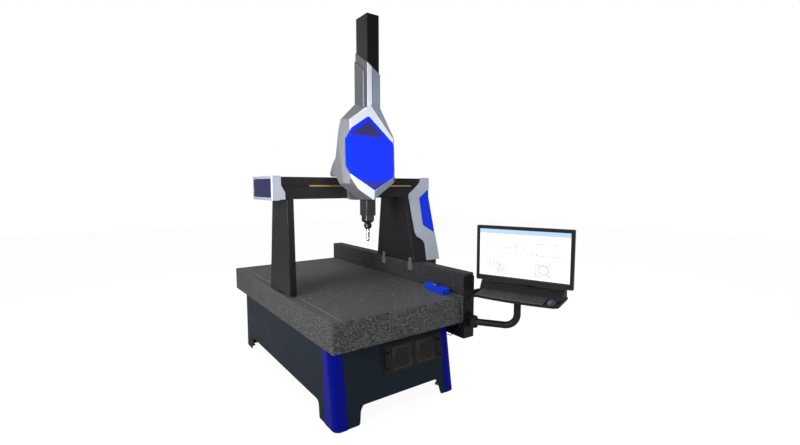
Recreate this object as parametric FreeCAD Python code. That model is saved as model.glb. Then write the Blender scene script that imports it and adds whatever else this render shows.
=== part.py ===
# Bridge-type coordinate measuring machine with its stand, controller and operator console.
# Millimetres. +X runs across the table towards the guide beam, +Y away from the operator, +Z up.
# The origin is the middle of the granite table's top face.
import FreeCAD, Part
import math
import os
from FreeCAD import Vector, Placement, Rotation

os.makedirs("parts", exist_ok=True)

# ---------------------------------------------------------------- driving dimensions
# Granite
table_width = 1048.0
table_length = 2040.0
table_thick = 190.0
edge_break = 3.0
insert_radius = 9.0
insert_bore = 4.25
insert_depth = 25.0
insert_pitch_x = 262.0
insert_pitch_y = 275.0
insert_columns = 4
insert_rows = 6
beam_guide_width = 99.5
beam_guide_rise = 161.0

# Stand
stand_height = 532.0
stand_left = -478.0
stand_width = 976.0
stand_back = 855.0
stand_front_top = -872.0
stand_lean = 0.15
panel_thick = 3.0
panel_top_gap = 6.0
panel_foot_gap = 6.0
arch_rise = 120.0
leg_width_front = 186.0
leg_width_side = 200.0
arch_round = 34.0
trim_width = 84.0
trim_side_top = 86.0
trim_side_low = 146.0
trim_proud = 4.0
trim_wall = 4.0
trim_lap = 12.0
trim_round = 46.0
trim_gap = 0.5
rail_width = 60.0
rail_height = 60.0
tube_wall = 5.0
pad_radius = 29.0
pad_height = 20.0
foot_radius = 22.0
foot_height = 14.0
foot_stud_radius = 10.0
stud_length = 78.0
nut_radius = 17.0
nut_height = 12.0

# Controller, a rack case four units high behind a bezel
bezel_width = 520.0
bezel_height = 200.0
bezel_centre_x = 152.0
bezel_top_z = -272.0
bezel_thick = 6.0
case_width = 430.0
case_height = 170.0
case_depth = 420.0
face_width = 482.6
face_height = 177.8
door_gap = 1.0
door_thick = 10.0
hinge_radius = 3.0
louvre_count = 11
louvre_pitch = 13.0
louvre_width = 5.0
handle_reach = 32.0
handle_radius = 5.0

# Trunking and front bracket
trunk_height = 125.0
bracket_thick = 8.0
bracket_drop = 16.0

# Bridge
gap = 0.3
beam_front = -308.0
beam_depth = 409.0
beam_bottom = 697.0
beam_height = 158.0
beam_left = -600.0
beam_right = 768.0
beam_wall = 14.0
cap_length = 52.0
cap_proud = 6.0
groove_height = 14.0
groove_depth = 8.0
groove_centre = 95.0
leg_left_face = -506.0
leg_thick = 50.0
leg_foot_front = -330.0
leg_foot_back = 81.0
leg_head_back = -6.0
air_pad_thick = 16.0
right_leg_width = 248.0
right_foot_front = -440.0
right_foot_back = 122.0
right_head_back = 60.0
right_head_front = -304.0
leg_float = 5.0
skirt_drop = 220.0
skirt_outer = 792.0
skirt_wall = 4.0
shell_thick = 10.0

# Carriage
ram_centre_x = 106.0
ram_centre_y = -388.0
ram_width = 80.0
ram_depth = 104.0
ram_bottom = 565.0
ram_length = 1100.0
ram_wall = 8.0
ram_pad_thick = 8.0
guide_wall = 12.0
guide_bottom = 760.0
guide_top = 1200.0
frame_half = 120.0
frame_centre_x = 84.0
frame_plate = 14.0
cover_wall = 4.0
column_left = 59.0
column_width = 102.0
column_depth = 160.0
column_front = -472.0
column_top = 2035.0
column_wall = 4.0
flange_thick = 12.0
neck_left = 54.0
neck_right = 167.0
neck_front = -478.0
neck_back = -306.0
neck_wall = 3.0
neck_panel_proud = 8.0

# Probe head
head_width = 78.0
head_height = 56.0
head_taper = 16.0
head_inset = 12.0
ball_radius = 30.5
ball_drop = 22.0
spigot_radius = 12.0
spigot_length = 10.0
fork_slot = 28.6
fork_bridge = 26.0
drum_radius = 17.4
seat_radius = 13.5
probe_radius = 13.75
probe_length = 92.0
stylus_length = 35.0
stylus_radius = 1.2
ruby_radius = 3.0

# Operator arm and console
arm_radius = 24.15
arm_wall = 3.0
arm_bend = 86.0
arm_axis_z = -185.0
arm_pivot = Vector(576.0, -1065.0, 0)
arm_foot = Vector(746.0, -1318.0, 0)
arm_top_z = -8.0
console_angle = -69.7
tray_width = 600.0
tray_depth = 300.0
tray_plate = 6.0
tray_rim = 16.0
tray_z = 18.0
keyboard_width = 465.0
keyboard_depth = 150.0
monitor_width = 672.0
monitor_height = 396.0
monitor_thick = 38.0
monitor_bezel = 24.0
monitor_centre_z = 312.0
monitor_shift_x = 24.0
monitor_face_y = 10.0

# Handset
handset_length = 255.0
handset_width = 66.0
handset_height = 44.0
handset_place = Vector(462.5, -793.0, 0)
handset_angle = -7.8
cable_radius = 3.0
gland_y = -778.0
gland_z = -348.0
gland_radius = 8.0
gland_length = 14.0

# ---------------------------------------------------------------- derived places
table_left = -table_width / 2
table_right = table_width / 2
table_front = -table_length / 2
table_back = table_length / 2
floor_z = -table_thick - stand_height
guide_left = table_right + 0.5
guide_right = guide_left + beam_guide_width
beam_back = beam_front + beam_depth
beam_top = beam_bottom + beam_height
stand_right = stand_left + stand_width
panel_top = -table_thick - panel_top_gap
panel_bottom = floor_z + panel_foot_gap
arch_z = floor_z + arch_rise
frame_top = -table_thick - pad_height
trunk_top = -table_thick - 2.0
trunk_bottom = trunk_top - trunk_height


# ---------------------------------------------------------------- shape helpers
def box(x0, x1, y0, y1, z0, z1):
    return Part.makeBox(x1 - x0, y1 - y0, z1 - z0, Vector(x0, y0, z0))


def rod(start, direction, radius, length):
    return Part.makeCylinder(radius, length, start, direction)


def fuse(shapes):
    result = shapes[0].multiFuse(shapes[1:]) if len(shapes) > 1 else shapes[0]
    return result.removeSplitter()


def outline(points):
    """Closed wire in the XY plane; a point's third value is the radius of its corner."""
    count = len(points)
    ends = []
    for i in range(count):
        here = Vector(points[i][0], points[i][1], 0)
        radius = points[i][2] if len(points[i]) > 2 else 0
        before = Vector(points[i - 1][0], points[i - 1][1], 0) - here
        after = Vector(points[(i + 1) % count][0], points[(i + 1) % count][1], 0) - here
        if radius == 0:
            ends.append((here, here, None))
            continue
        before.normalize()
        after.normalize()
        half = before.getAngle(after) / 2
        reach = radius / math.tan(half)
        middle = before + after
        middle.normalize()
        centre = here + middle * (radius / math.sin(half))
        ends.append((here + before * reach, here + after * reach, centre - middle * radius))
    edges = []
    for i in range(count):
        first, last, mid = ends[i]
        if mid is not None:
            edges.append(Part.Arc(first, mid, last).toShape())
        following = ends[(i + 1) % count][0]
        if last.distanceToPoint(following) > 1e-6:
            edges.append(Part.makeLine(last, following))
    return Part.Wire(edges)


planes = {
    "xy": Rotation(),
    "xz": Rotation(Vector(1, 0, 0), 90),
    "yz": Rotation(Vector(0, 0, 1), 90).multiply(Rotation(Vector(1, 0, 0), 90)),
}


def prism(plane, points, low, high, inset=0):
    """Extrusion of an outline drawn in a plane, between two places on the third axis."""
    face = Part.Face(outline(points))
    if inset:
        face = face.makeOffset2D(-inset)
    if plane == "xz":
        body = face.extrude(Vector(0, 0, high - low))
        body.Placement = Placement(Vector(0, high, 0), planes[plane])
    else:
        body = face.extrude(Vector(0, 0, high - low))
        offset = Vector(0, 0, low) if plane == "xy" else Vector(low, 0, 0)
        body.Placement = Placement(offset, planes[plane])
    return body


def ring_tube(outer, wall, low, high, plane="xy"):
    """Rectangular tube; outer is (u0, u1, v0, v1)."""
    u0, u1, v0, v1 = outer
    skin = prism(plane, [(u0, v0), (u1, v0), (u1, v1), (u0, v1)], low, high)
    hole = prism(plane, [(u0 + wall, v0 + wall), (u1 - wall, v0 + wall), (u1 - wall, v1 - wall),
                         (u0 + wall, v1 - wall)], low - 1, high + 1)
    return skin.cut(hole)


def beyond(point, normal, size=3000.0):
    """Everything on the far side of a plane, as a big block."""
    block = Part.makeBox(size, size, size, Vector(-size / 2, -size / 2, 0))
    block.Placement = Placement(point, Rotation(Vector(0, 0, 1), normal))
    return block


def facet_body(start, facets, inset):
    """Convex body: a block cut by planes, each moved inwards by the inset."""
    body = start
    for point, normal in facets:
        unit = Vector(normal)
        unit.normalize()
        body = body.cut(beyond(point - unit * inset, unit))
    return body


def turned(shape, angle, centre=Vector(0, 0, 0), axis=Vector(0, 0, 1)):
    copy = shape.copy()
    copy.rotate(centre, axis, angle)
    return copy


def moved(shape, offset):
    copy = shape.copy()
    copy.translate(offset)
    return copy


def save(name, shape):
    for solid in shape.Solids:
        if not (solid.isValid() and solid.isClosed()):
            print("WARNING", name, "has a solid that is not valid and closed")
    shape.exportStep("parts/" + name + ".step")
    print(name, len(shape.Solids), "solids", round(sum(s.Volume for s in shape.Solids) / 1000), "cm3")


# ---------------------------------------------------------------- granite
def insert_places():
    """The table's grid of threaded inserts; the end rows keep only their middle columns."""
    places = []
    for row in range(insert_rows):
        for column in range(insert_columns):
            end_row = row in (0, insert_rows - 1)
            if end_row and column in (0, insert_columns - 1):
                continue
            x = (column - (insert_columns - 1) / 2) * insert_pitch_x
            y = (row - (insert_rows - 1) / 2) * insert_pitch_y
            places.append(Vector(x, y, 0))
    return places


def granite_table():
    slab = box(table_left, table_right, table_front, table_back, -table_thick, 0)
    edges = [e for e in slab.Edges if abs(e.BoundBox.ZMin - e.BoundBox.ZMax) > 1
             or (e.BoundBox.ZMin > -1 and e.BoundBox.XMax < table_right - 1)]
    slab = slab.makeChamfer(edge_break, edges)
    holes = [rod(p - Vector(0, 0, insert_depth), Vector(0, 0, 1), insert_radius, insert_depth + 1)
             for p in insert_places()]
    return slab.cut(Part.makeCompound(holes))


def table_inserts():
    bushes = []
    for p in insert_places():
        base = p - Vector(0, 0, insert_depth)
        bush = rod(base, Vector(0, 0, 1), insert_radius, insert_depth)
        bushes.append(bush.cut(rod(base - Vector(0, 0, 1), Vector(0, 0, 1), insert_bore, insert_depth + 2)))
    return Part.makeCompound(bushes)


guide_front = table_front + bracket_thick


def guide_beam():
    body = box(guide_left, guide_right, guide_front, table_back, -table_thick, beam_guide_rise)
    edges = [e for e in body.Edges if e.BoundBox.ZMin > beam_guide_rise - 1]
    return body.makeChamfer(edge_break, edges)


scale_z = 112.0
belt_z = 40.0
belt_height = 25.0
belt_thick = 3.0
belt_stand_off = 8.0


def y_scale():
    return box(guide_right, guide_right + 1.0, guide_front + 20, table_back - 20, scale_z, scale_z + 10)


def y_drive_belt():
    x0 = guide_right + belt_stand_off
    belt = box(x0, x0 + belt_thick, guide_front + 10, table_back - 10, belt_z, belt_z + belt_height)
    parts = [belt]
    for y in (guide_front + 10, table_back - 40):
        clamp = box(guide_right, x0, y, y + 30, belt_z - 6, belt_z + belt_height + 6)
        cap = box(x0 + belt_thick, x0 + belt_thick + 8, y, y + 30, belt_z - 6, belt_z + belt_height + 6)
        parts += [clamp, cap]
    return Part.makeCompound(parts)


buffer_x = guide_right + 62.0
buffer_length = 26.0
buffer_post = 18.0
buffer_inset = 2.0


def travel_buffers():
    """A post on each end of the guide beam with a rubber stop that faces the bridge."""
    parts = []
    for end, way in ((guide_front, 1), (table_back, -1)):
        near = end + way * buffer_inset
        far = end + way * buffer_post
        post = box(guide_right, buffer_x + 20, min(near, far), max(near, far), -30, 26)
        stop = Part.makeCone(16, 12, buffer_length, Vector(buffer_x, end + way * buffer_post, -2),
                             Vector(0, way, 0))
        parts += [post, stop]
    return Part.makeCompound(parts)


def cable_trunking():
    outer = (guide_left + 2, guide_right, trunk_bottom, trunk_top)
    tube = ring_tube((outer[0], outer[1], outer[2], outer[3]), 2.5, guide_front, table_back - 60, "xz")
    lid_line = box(outer[0] + 10, outer[1] - 10, guide_front + 5, table_back - 65, trunk_bottom - 1.5, trunk_bottom)
    back_cap = box(outer[0], outer[1], table_back - 60, table_back - 57.5, trunk_bottom, trunk_top)
    return fuse([tube, lid_line, back_cap])


def end_bracket():
    """Front plate of guide beam and trunking, with a diagonal fold that stiffens it."""
    z_top = beam_guide_rise - bracket_drop
    plate = prism("xz", [(guide_left + 2, trunk_bottom), (guide_right + 2, trunk_bottom),
                         (guide_right + 2, z_top - 12, 6), (guide_right - 10, z_top, 6),
                         (guide_left + 2, z_top, 4)], table_front, guide_front)
    rib = prism("xz", [(guide_left + 6, -50), (guide_right - 8, 8), (guide_right - 8, 14), (guide_left + 6, -44)],
                table_front - 3, table_front)
    return fuse([plate, rib])


# ---------------------------------------------------------------- stand
def front_y(z):
    """Outer face of the leaning front panel."""
    return stand_front_top - stand_lean * (-table_thick - z)


def side_trim(z):
    """Length of the corner trim along the side at a height."""
    share = (panel_top - z) / (panel_top - panel_bottom)
    return trim_side_top + (trim_side_low - trim_side_top) * share


lean_angle = math.degrees(math.atan(stand_lean))


def lean(shape):
    """Turns a shape drawn on the vertical plane y = 0 onto the leaning front plane."""
    leaned = shape.copy()
    leaned.rotate(Vector(0, 0, 0), Vector(1, 0, 0), -lean_angle)
    leaned.translate(Vector(0, stand_front_top, -table_thick))
    return leaned


def slope(z):
    """Distance down the leaning plane from the table's underside to a height."""
    return (z + table_thick) / math.cos(math.radians(lean_angle))


frame_inset = 4.0
post_foot_z = -640.0
foot_plate = 8.0
lower_ring_z = -560.0
lower_ring_height = 50.0
cross_rail_y = -260.0
shelf_thick = 3.0
standoff_height = 40.0
frame_left = stand_left + frame_inset
frame_right = stand_right - frame_inset
frame_back = stand_back - frame_inset
frame_front = stand_front_top + 32.0


def stand_frame():
    """Box-section frame: posts, stand-offs to the front sheet, two rings, a cross rail and the controller's shelf."""
    post_left = frame_left + rail_width
    post_right = frame_right - rail_width
    post_front = frame_front + rail_width
    post_back = frame_back - rail_width
    parts = []
    for x0 in (frame_left, post_right):
        for y0 in (frame_front, post_back):
            post = ring_tube((x0, x0 + rail_width, y0, y0 + rail_width), tube_wall, post_foot_z, frame_top)
            plate = box(x0, x0 + rail_width, y0, y0 + rail_width, post_foot_z - foot_plate, post_foot_z)
            bore = rod(Vector(x0 + rail_width / 2, y0 + rail_width / 2, post_foot_z - foot_plate - 1),
                       Vector(0, 0, 1), foot_stud_radius + gap, foot_plate + 2)
            parts.append(fuse([post, plate.cut(bore)]))
    for x0 in (frame_left + rail_width / 2, frame_right - rail_width * 1.5):
        for z0 in (frame_top - rail_height, post_foot_z):
            z1 = z0 + standoff_height
            reach = panel_thick / math.cos(math.radians(lean_angle))
            parts.append(prism("yz", [(frame_front, z0), (front_y(z0) + reach, z0), (front_y(z1) + reach, z1),
                                      (frame_front, z1)], x0, x0 + rail_width))
    for z0, height in ((frame_top - rail_height, rail_height), (lower_ring_z, lower_ring_height)):
        for x0 in (frame_left, post_right):
            parts.append(ring_tube((x0, x0 + rail_width, z0, z0 + height), tube_wall, post_front, post_back, "xz"))
        for y0 in (frame_front, post_back):
            parts.append(ring_tube((y0, y0 + rail_width, z0, z0 + height), tube_wall, post_left, post_right, "yz"))
    parts.append(ring_tube((cross_rail_y, cross_rail_y + rail_width, frame_top - rail_height, frame_top),
                           tube_wall, post_left, post_right, "yz"))
    shelf_z = bezel_top_z - (bezel_height + case_height) / 2
    x0 = bezel_centre_x - case_width / 2 - gap
    x1 = bezel_centre_x + case_width / 2 + gap
    back = cross_rail_y + rail_width
    parts.append(box(x0, x1, post_front, back, shelf_z - shelf_thick, shelf_z))
    for x in (x0 - shelf_thick, x1):
        parts.append(box(x, x + shelf_thick, post_front - rail_width / 2, back, shelf_z - shelf_thick,
                         frame_top - rail_height))
    return Part.makeCompound(parts)


def support_pads():
    places = [(x, y) for x in (frame_left + rail_width / 2, frame_right - rail_width / 2)
              for y in (-420.0, 470.0)]
    return Part.makeCompound([Part.makeCone(pad_radius, pad_radius - 1, pad_height, Vector(x, y, frame_top))
                              for x, y in places])


def levelling_feet():
    """Ball-footed pads with their studs and lock nuts, one under each post."""
    feet = []
    nut_top = post_foot_z - foot_plate
    for x in (frame_left + rail_width / 2, frame_right - rail_width / 2):
        for y in (frame_front + rail_width / 2, frame_back - rail_width / 2):
            foot = Vector(x, y, floor_z)
            pad = Part.makeCone(foot_radius, foot_radius - 4, foot_height, foot)
            stud = rod(foot + Vector(0, 0, foot_height), Vector(0, 0, 1), foot_stud_radius, stud_length)
            corners = [math.radians(60 * k) for k in range(6)]
            nut = prism("xy", [(x + nut_radius * math.cos(a), y + nut_radius * math.sin(a)) for a in corners],
                        nut_top - nut_height, nut_top)
            feet.append(fuse([pad, stud, nut]))
    return Part.makeCompound(feet)


def side_panel(x0):
    """Side sheet with a leaning front edge and an arch between its two legs."""
    top_front = front_y(panel_top) + side_trim(panel_top)
    low_front = front_y(panel_bottom) + side_trim(panel_bottom)
    points = [(top_front, panel_top), (low_front, panel_bottom, 8),
              (front_y(panel_bottom) + leg_width_side + 30, panel_bottom, 14),
              (front_y(arch_z) + leg_width_side + 24, arch_z, arch_round),
              (stand_back - leg_width_side + 40, arch_z, arch_round),
              (stand_back - leg_width_side + 64, panel_bottom, 14),
              (stand_back, panel_bottom, 8), (stand_back, panel_top)]
    return prism("yz", points, x0, x0 + panel_thick)


def side_panels():
    """Both side sheets; the right one carries the gland that takes the handset's cable."""
    right = side_panel(stand_right - panel_thick)
    gland = rod(Vector(stand_right - 1, gland_y, gland_z), Vector(1, 0, 0), gland_radius, gland_length)
    return Part.makeCompound([side_panel(stand_left), right.fuse(gland)])


def front_panel():
    """Leaning front sheet with the controller's opening and an arch between its legs."""
    left = stand_left + trim_width - trim_lap
    right = stand_right - trim_width + trim_lap
    points = [(left, slope(panel_top)), (left, slope(panel_bottom), 6),
              (stand_left + leg_width_front - 14, slope(panel_bottom), 16),
              (stand_left + leg_width_front, slope(arch_z) - 30, 30),
              (stand_left + leg_width_front + 20, slope(arch_z), 22),
              (stand_right - leg_width_front + 34, slope(arch_z), arch_round),
              (stand_right - leg_width_front + 60, slope(panel_bottom), 16),
              (right, slope(panel_bottom), 6), (right, slope(panel_top))]
    sheet = prism("xz", points, 0, panel_thick)
    low = slope(bezel_top_z - bezel_height) + 10
    high = slope(bezel_top_z) - 10
    hole = box(bezel_centre_x - bezel_width / 2 + 12, bezel_centre_x + bezel_width / 2 - 12, -5, 10, low, high)
    return lean(sheet.cut(hole))


def rear_panel():
    points = [(stand_left + panel_thick, panel_top), (stand_left + panel_thick, panel_bottom, 8),
              (stand_left + leg_width_front, panel_bottom, 14), (stand_left + leg_width_front + 20, arch_z, arch_round),
              (stand_right - leg_width_front - 20, arch_z, arch_round),
              (stand_right - leg_width_front, panel_bottom, 14),
              (stand_right - panel_thick, panel_bottom, 8), (stand_right - panel_thick, panel_top)]
    sheet = prism("xz", points, stand_back - panel_thick, stand_back)
    for i in range(8):
        x = -180.0 + i * 45
        sheet = sheet.cut(prism("xz", [(x, -440, 4), (x + 9, -440, 4), (x + 9, -300, 4), (x, -300, 4)],
                                stand_back - 10, stand_back + 10))
    return sheet


def front_trim(mirror):
    """Rounded corner cover that follows the leaning front and widens towards the floor."""
    def section(z):
        side = side_trim(z) - trim_gap
        x0 = stand_left - trim_proud
        x1 = stand_left + trim_width - trim_gap
        y0 = front_y(z) - trim_proud
        y1 = front_y(z) + side
        centre = Vector(x0 + trim_round, y0 + trim_round, z)

        def corner(radius):
            cut = radius * math.sqrt(0.5)
            return Part.Arc(centre - Vector(radius, 0, 0), centre - Vector(cut, cut, 0),
                            centre - Vector(0, radius, 0)).toShape()

        inner = trim_round - trim_wall
        lines = [Part.makeLine(Vector(x0, y1, z), centre - Vector(trim_round, 0, 0)), corner(trim_round),
                 Part.makeLine(centre - Vector(0, trim_round, 0), Vector(x1, y0, z)),
                 Part.makeLine(Vector(x1, y0, z), Vector(x1, y0 + trim_wall, z)),
                 Part.makeLine(Vector(x1, y0 + trim_wall, z), centre - Vector(0, inner, 0)), corner(inner),
                 Part.makeLine(centre - Vector(inner, 0, 0), Vector(x0 + trim_wall, y1, z)),
                 Part.makeLine(Vector(x0 + trim_wall, y1, z), Vector(x0, y1, z))]
        return Part.Wire([edge for group in Part.sortEdges(lines) for edge in group])

    trim = Part.makeLoft([section(panel_bottom), section(panel_top)], True, True)
    if mirror:
        trim = trim.mirror(Vector((stand_left + stand_right) / 2, 0, 0), Vector(1, 0, 0))
    return trim


def front_trims():
    return Part.makeCompound([front_trim(False), front_trim(True)])


# ---------------------------------------------------------------- controller
bezel_low = bezel_top_z - bezel_height


def on_front(u, z, out):
    """Point of the leaning front plane at a height, a distance in front of it."""
    normal = Vector(0, -math.cos(math.radians(lean_angle)), math.sin(math.radians(lean_angle)))
    return Vector(u, front_y(z), z) + normal * out


def front_block(x0, x1, z0, z1, near, far, corner=0):
    """Block on the leaning front, from near to far behind the panel's outer face."""
    points = [(x0, slope(z0), corner), (x1, slope(z0), corner), (x1, slope(z1), corner), (x0, slope(z1), corner)]
    if corner == 0:
        points = [p[:2] for p in points]
    return lean(prism("xz", points, near, far))


face_left = bezel_centre_x - face_width / 2
face_right = bezel_centre_x + face_width / 2
face_low = bezel_low + (bezel_height - face_height) / 2
face_high = face_low + face_height
door_low = face_low + 12
door_high = face_high - 12
door_left = face_left + 58
door_right = face_right - 58
lock_half = 24.0
bezel_out = -bezel_thick - 6
door_face = bezel_out - 1


def controller_bezel():
    """Bezel frame with the rack ears, the middle bar with its lock and two bow handles."""
    x0 = bezel_centre_x - bezel_width / 2
    x1 = bezel_centre_x + bezel_width / 2
    frame = front_block(x0, x1, bezel_low, bezel_top_z, -bezel_thick, 0, 8)
    face = front_block(face_left, face_right, face_low, face_high, bezel_out, -bezel_thick, 3)
    parts = fuse([frame, face])
    for a, b in ((door_left - gap, bezel_centre_x - lock_half + door_gap),
                 (bezel_centre_x + lock_half - door_gap, door_right + gap)):
        parts = parts.cut(front_block(a, b, door_low - door_gap, door_high + door_gap, bezel_out - 5, 10))
    lock = rod(on_front(bezel_centre_x, (door_low + door_high) / 2, -bezel_out),
               on_front(0, 0, 1) - on_front(0, 0, 0), 9, 5)
    bars = [parts, lock]
    for x in (face_left + 18, face_right - 18):
        low = on_front(x, face_low + 34, -bezel_out)
        high = on_front(x, face_high - 34, -bezel_out)
        out = on_front(0, 0, 1) - on_front(0, 0, 0)
        for end in (low, high):
            bars.append(rod(end, out, handle_radius, handle_reach))
        bars.append(rod(low + out * handle_reach - (high - low) * 0.05, high - low, handle_radius,
                        (high - low).Length * 1.1))
    return fuse(bars)


def controller_door(left):
    """Swinging filter door with a slanted row of air slots and a hinge barrel down its outer edge."""
    a = door_left if left else bezel_centre_x + lock_half
    b = bezel_centre_x - lock_half if left else door_right
    slab = front_block(a, b, door_low, door_high, door_face, door_face + door_thick, 3)
    slots = []
    middle = (a + b) / 2
    z_mid = (slope(door_low) + slope(door_high)) / 2
    half = (slope(door_high) - slope(door_low)) / 2 - 14
    for i in range(louvre_count):
        u = middle + (i - (louvre_count - 1) / 2) * louvre_pitch - half * 0.35
        slot = prism("xz", [(u - louvre_width, z_mid - half), (u, z_mid - half),
                            (u + half, z_mid + half), (u + half - louvre_width, z_mid + half)], -40, 40)
        slots.append(slot)
    grid = Part.makeCompound(slots).common(box(a + 12, b - 12, -50, 50, z_mid - half, z_mid + half))
    grid = lean(grid)
    hinge_x = a + hinge_radius if left else b - hinge_radius
    low = on_front(hinge_x, door_low + 4, -door_face)
    high = on_front(hinge_x, door_high - 4, -door_face)
    barrel = rod(low, high - low, hinge_radius, (high - low).Length)
    return fuse([slab.cut(grid), barrel])


def controller_case():
    """Sheet chassis behind the bezel, open at the front and slotted at the rear."""
    x0 = bezel_centre_x - case_width / 2
    z_top = bezel_top_z - (bezel_height - case_height) / 2
    z0 = z_top - case_height
    y0 = front_y(z0) + panel_thick + 1
    outer = prism("yz", [(front_y(z0) + panel_thick, z0), (y0 + case_depth, z0), (y0 + case_depth, z_top),
                         (front_y(z_top) + panel_thick, z_top)], x0, x0 + case_width)
    inner = prism("yz", [(front_y(z0) - 5, z0 + 1.5), (y0 + case_depth - 1.5, z0 + 1.5),
                         (y0 + case_depth - 1.5, z_top - 1.5), (front_y(z_top) - 5, z_top - 1.5)],
                  x0 + 1.5, x0 + case_width - 1.5)
    body = outer.cut(inner)
    ports = [box(x0 + 40 + i * 46, x0 + 70 + i * 46, y0 + case_depth - 5, y0 + case_depth + 5, z0 + 20, z0 + 34)
             for i in range(7)]
    return body.cut(Part.makeCompound(ports))


# ---------------------------------------------------------------- bridge
def beam_profile():
    """Closed section of the bridge beam with its scale groove and one inner web."""
    y0, y1, z0, z1 = beam_front, beam_back, beam_bottom, beam_top
    groove0 = z0 + groove_centre - groove_height / 2
    groove1 = z0 + groove_centre + groove_height / 2
    return [(y0, z0, 5), (y1, z0, 5), (y1, z1, 5), (y0, z1, 5), (y0, groove1), (y0 + groove_depth, groove1),
            (y0 + groove_depth, groove0), (y0, groove0)]


def bridge_beam():
    body = prism("yz", beam_profile(), beam_left, beam_right)
    cells = []
    middle = (beam_front + beam_back) / 2
    for a, b in ((beam_front + beam_wall + groove_depth, middle - 5), (middle + 5, beam_back - beam_wall)):
        cells.append(box(beam_left + 10, beam_right - 10, a, b, beam_bottom + beam_wall, beam_top - beam_wall))
    return body.cut(Part.makeCompound(cells))


def x_scale():
    z = beam_bottom + groove_centre
    y = beam_front + groove_depth
    return box(-331, 592, y - 1.5, y, z - 5, z + 5)


def x_drive_belt():
    """Fixed belt along the back of the beam with a clamp at each end."""
    y = beam_back + 10
    first = beam_left + cap_length
    parts = [box(first, beam_right - 30, y, y + belt_thick, beam_bottom + 60, beam_bottom + 85)]
    for x in (first, beam_right - 60):
        parts.append(box(x, x + 30, beam_back, y, beam_bottom + 54, beam_bottom + 91))
        parts.append(box(x, x + 30, y + belt_thick, y + belt_thick + 8, beam_bottom + 54, beam_bottom + 91))
    return Part.makeCompound(parts)


def beam_end_cap():
    """Cast shell over the beam's free end; a window frame in its end and a sloped front apron."""
    y0 = beam_front - cap_proud
    y1 = beam_back + cap_proud
    z0 = beam_bottom - 1.0
    z1 = beam_top + cap_proud
    x0 = beam_left - 13
    apron = prism("xz", [(x0, z0), (-519, z0), (-519, z0 + 48, 8), (beam_left + cap_length, z0 + 100, 8),
                         (beam_left + cap_length, z1), (x0, z1)], y0, beam_front)
    hood = ring_tube((y0, y1, z0 - cap_proud, z1), cap_proud, x0, beam_left + cap_length - 12, "yz")
    plug = box(x0, beam_left, y0, y1, z0 - cap_proud, z1)
    shell = fuse([hood, plug, apron])
    low = z0 + 14
    high = z1 - 20
    recess = prism("yz", [(y0 + 22, low, 12), (y1 - 22, low, 12), (y1 - 22, high, 12), (y0 + 22, high, 12)],
                   x0 - 1, x0 + 5)
    edges = []
    shell = shell.cut(recess)
    for edge in shell.Edges:
        bb = edge.BoundBox
        on_end = abs(bb.XMin - x0) < 0.01 and abs(bb.XMax - x0) < 0.01
        if on_end and (bb.ZMin < z0 - cap_proud + 0.1 or bb.ZMax > z1 - 0.1 or bb.YMin < y0 + 0.1
                       or bb.YMax > y1 - 0.1):
            edges.append(edge)
    return shell.makeChamfer(4.0, edges)


def end_cap_window():
    y0 = beam_front - cap_proud + 22.3
    y1 = beam_back + cap_proud - 22.3
    low = beam_bottom - 1.0 + 14.3
    high = beam_top + cap_proud - 20.3
    x0 = beam_left - 13
    return prism("yz", [(y0, low, 12), (y1, low, 12), (y1, high, 12), (y0, high, 12)], x0 + 1, x0 + 5)


pad_slot = 6.0


def left_pad_places():
    return [leg_foot_front + 30, leg_foot_back - 130]


def left_leg():
    """Tapered leg with a hollow core, bearing pockets in its foot and a flange under the beam."""
    shape = prism("yz", [(leg_foot_front, leg_float, 4), (leg_foot_back, leg_float, 4),
                         (leg_head_back, beam_bottom, 2), (beam_front, beam_bottom, 2)],
                  leg_left_face, leg_left_face + leg_thick)
    edges = [e for e in shape.Edges if e.Length > 600]
    shape = shape.makeFillet(6.0, edges)
    core = prism("yz", [(leg_foot_front + 40, 60), (leg_foot_back - 40, 60), (leg_head_back - 40, beam_bottom - 40),
                        (beam_front + 32, beam_bottom - 40)], leg_left_face + 8, leg_left_face + leg_thick - 8)
    shape = shape.cut(core)
    for y in left_pad_places():
        shape = shape.cut(box(leg_left_face + pad_slot, leg_left_face + leg_thick - pad_slot, y, y + 100, 0,
                              gap + air_pad_thick))
    return shape


def right_section(z):
    """Front and back of the right leg at a height."""
    share = (z - beam_guide_rise) / (beam_bottom - beam_guide_rise)
    front = right_foot_front + (right_head_front - right_foot_front) * share
    back = right_foot_back + (right_head_back - right_foot_back) * share
    return front, back


leg_x0 = guide_left - 2.5
leg_x1 = leg_x0 + right_leg_width


def right_leg():
    """Tapered box casting that stands on the guide beam and carries the beam's driven end."""
    z0 = beam_guide_rise + leg_float
    front0, back0 = right_section(z0)
    shape = prism("yz", [(front0, z0), (back0, z0), (right_head_back, beam_bottom), (right_head_front, beam_bottom)],
                  leg_x0, leg_x1)
    edges = [e for e in shape.Edges if e.Length > 500 and e.BoundBox.XMax < leg_x0 + 1]
    shape = shape.makeFillet(5.0, edges)
    core = prism("yz", [(front0 + 40, z0 + 40), (back0 - 40, z0 + 40), (right_head_back - 40, beam_bottom - 30),
                        (right_head_front + 40, beam_bottom - 30)], leg_x0 + 12, leg_x1 - 12)
    shape = shape.cut(core)
    for y in right_pad_places():
        shape = shape.cut(box(guide_left + 14.7, guide_right - 14.7, y - 0.3, y + 90.3, z0 - 1,
                              beam_guide_rise + gap + air_pad_thick))
    seam = prism("yz", [(front0 + 9, z0), (front0 + 12, z0), (right_head_front + 12, beam_bottom),
                        (right_head_front + 9, beam_bottom)], leg_x0 - 1, leg_x0 + 2)
    return shape.cut(seam)


def right_pad_places():
    return [right_foot_front + 40, right_foot_back - 130]


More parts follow.
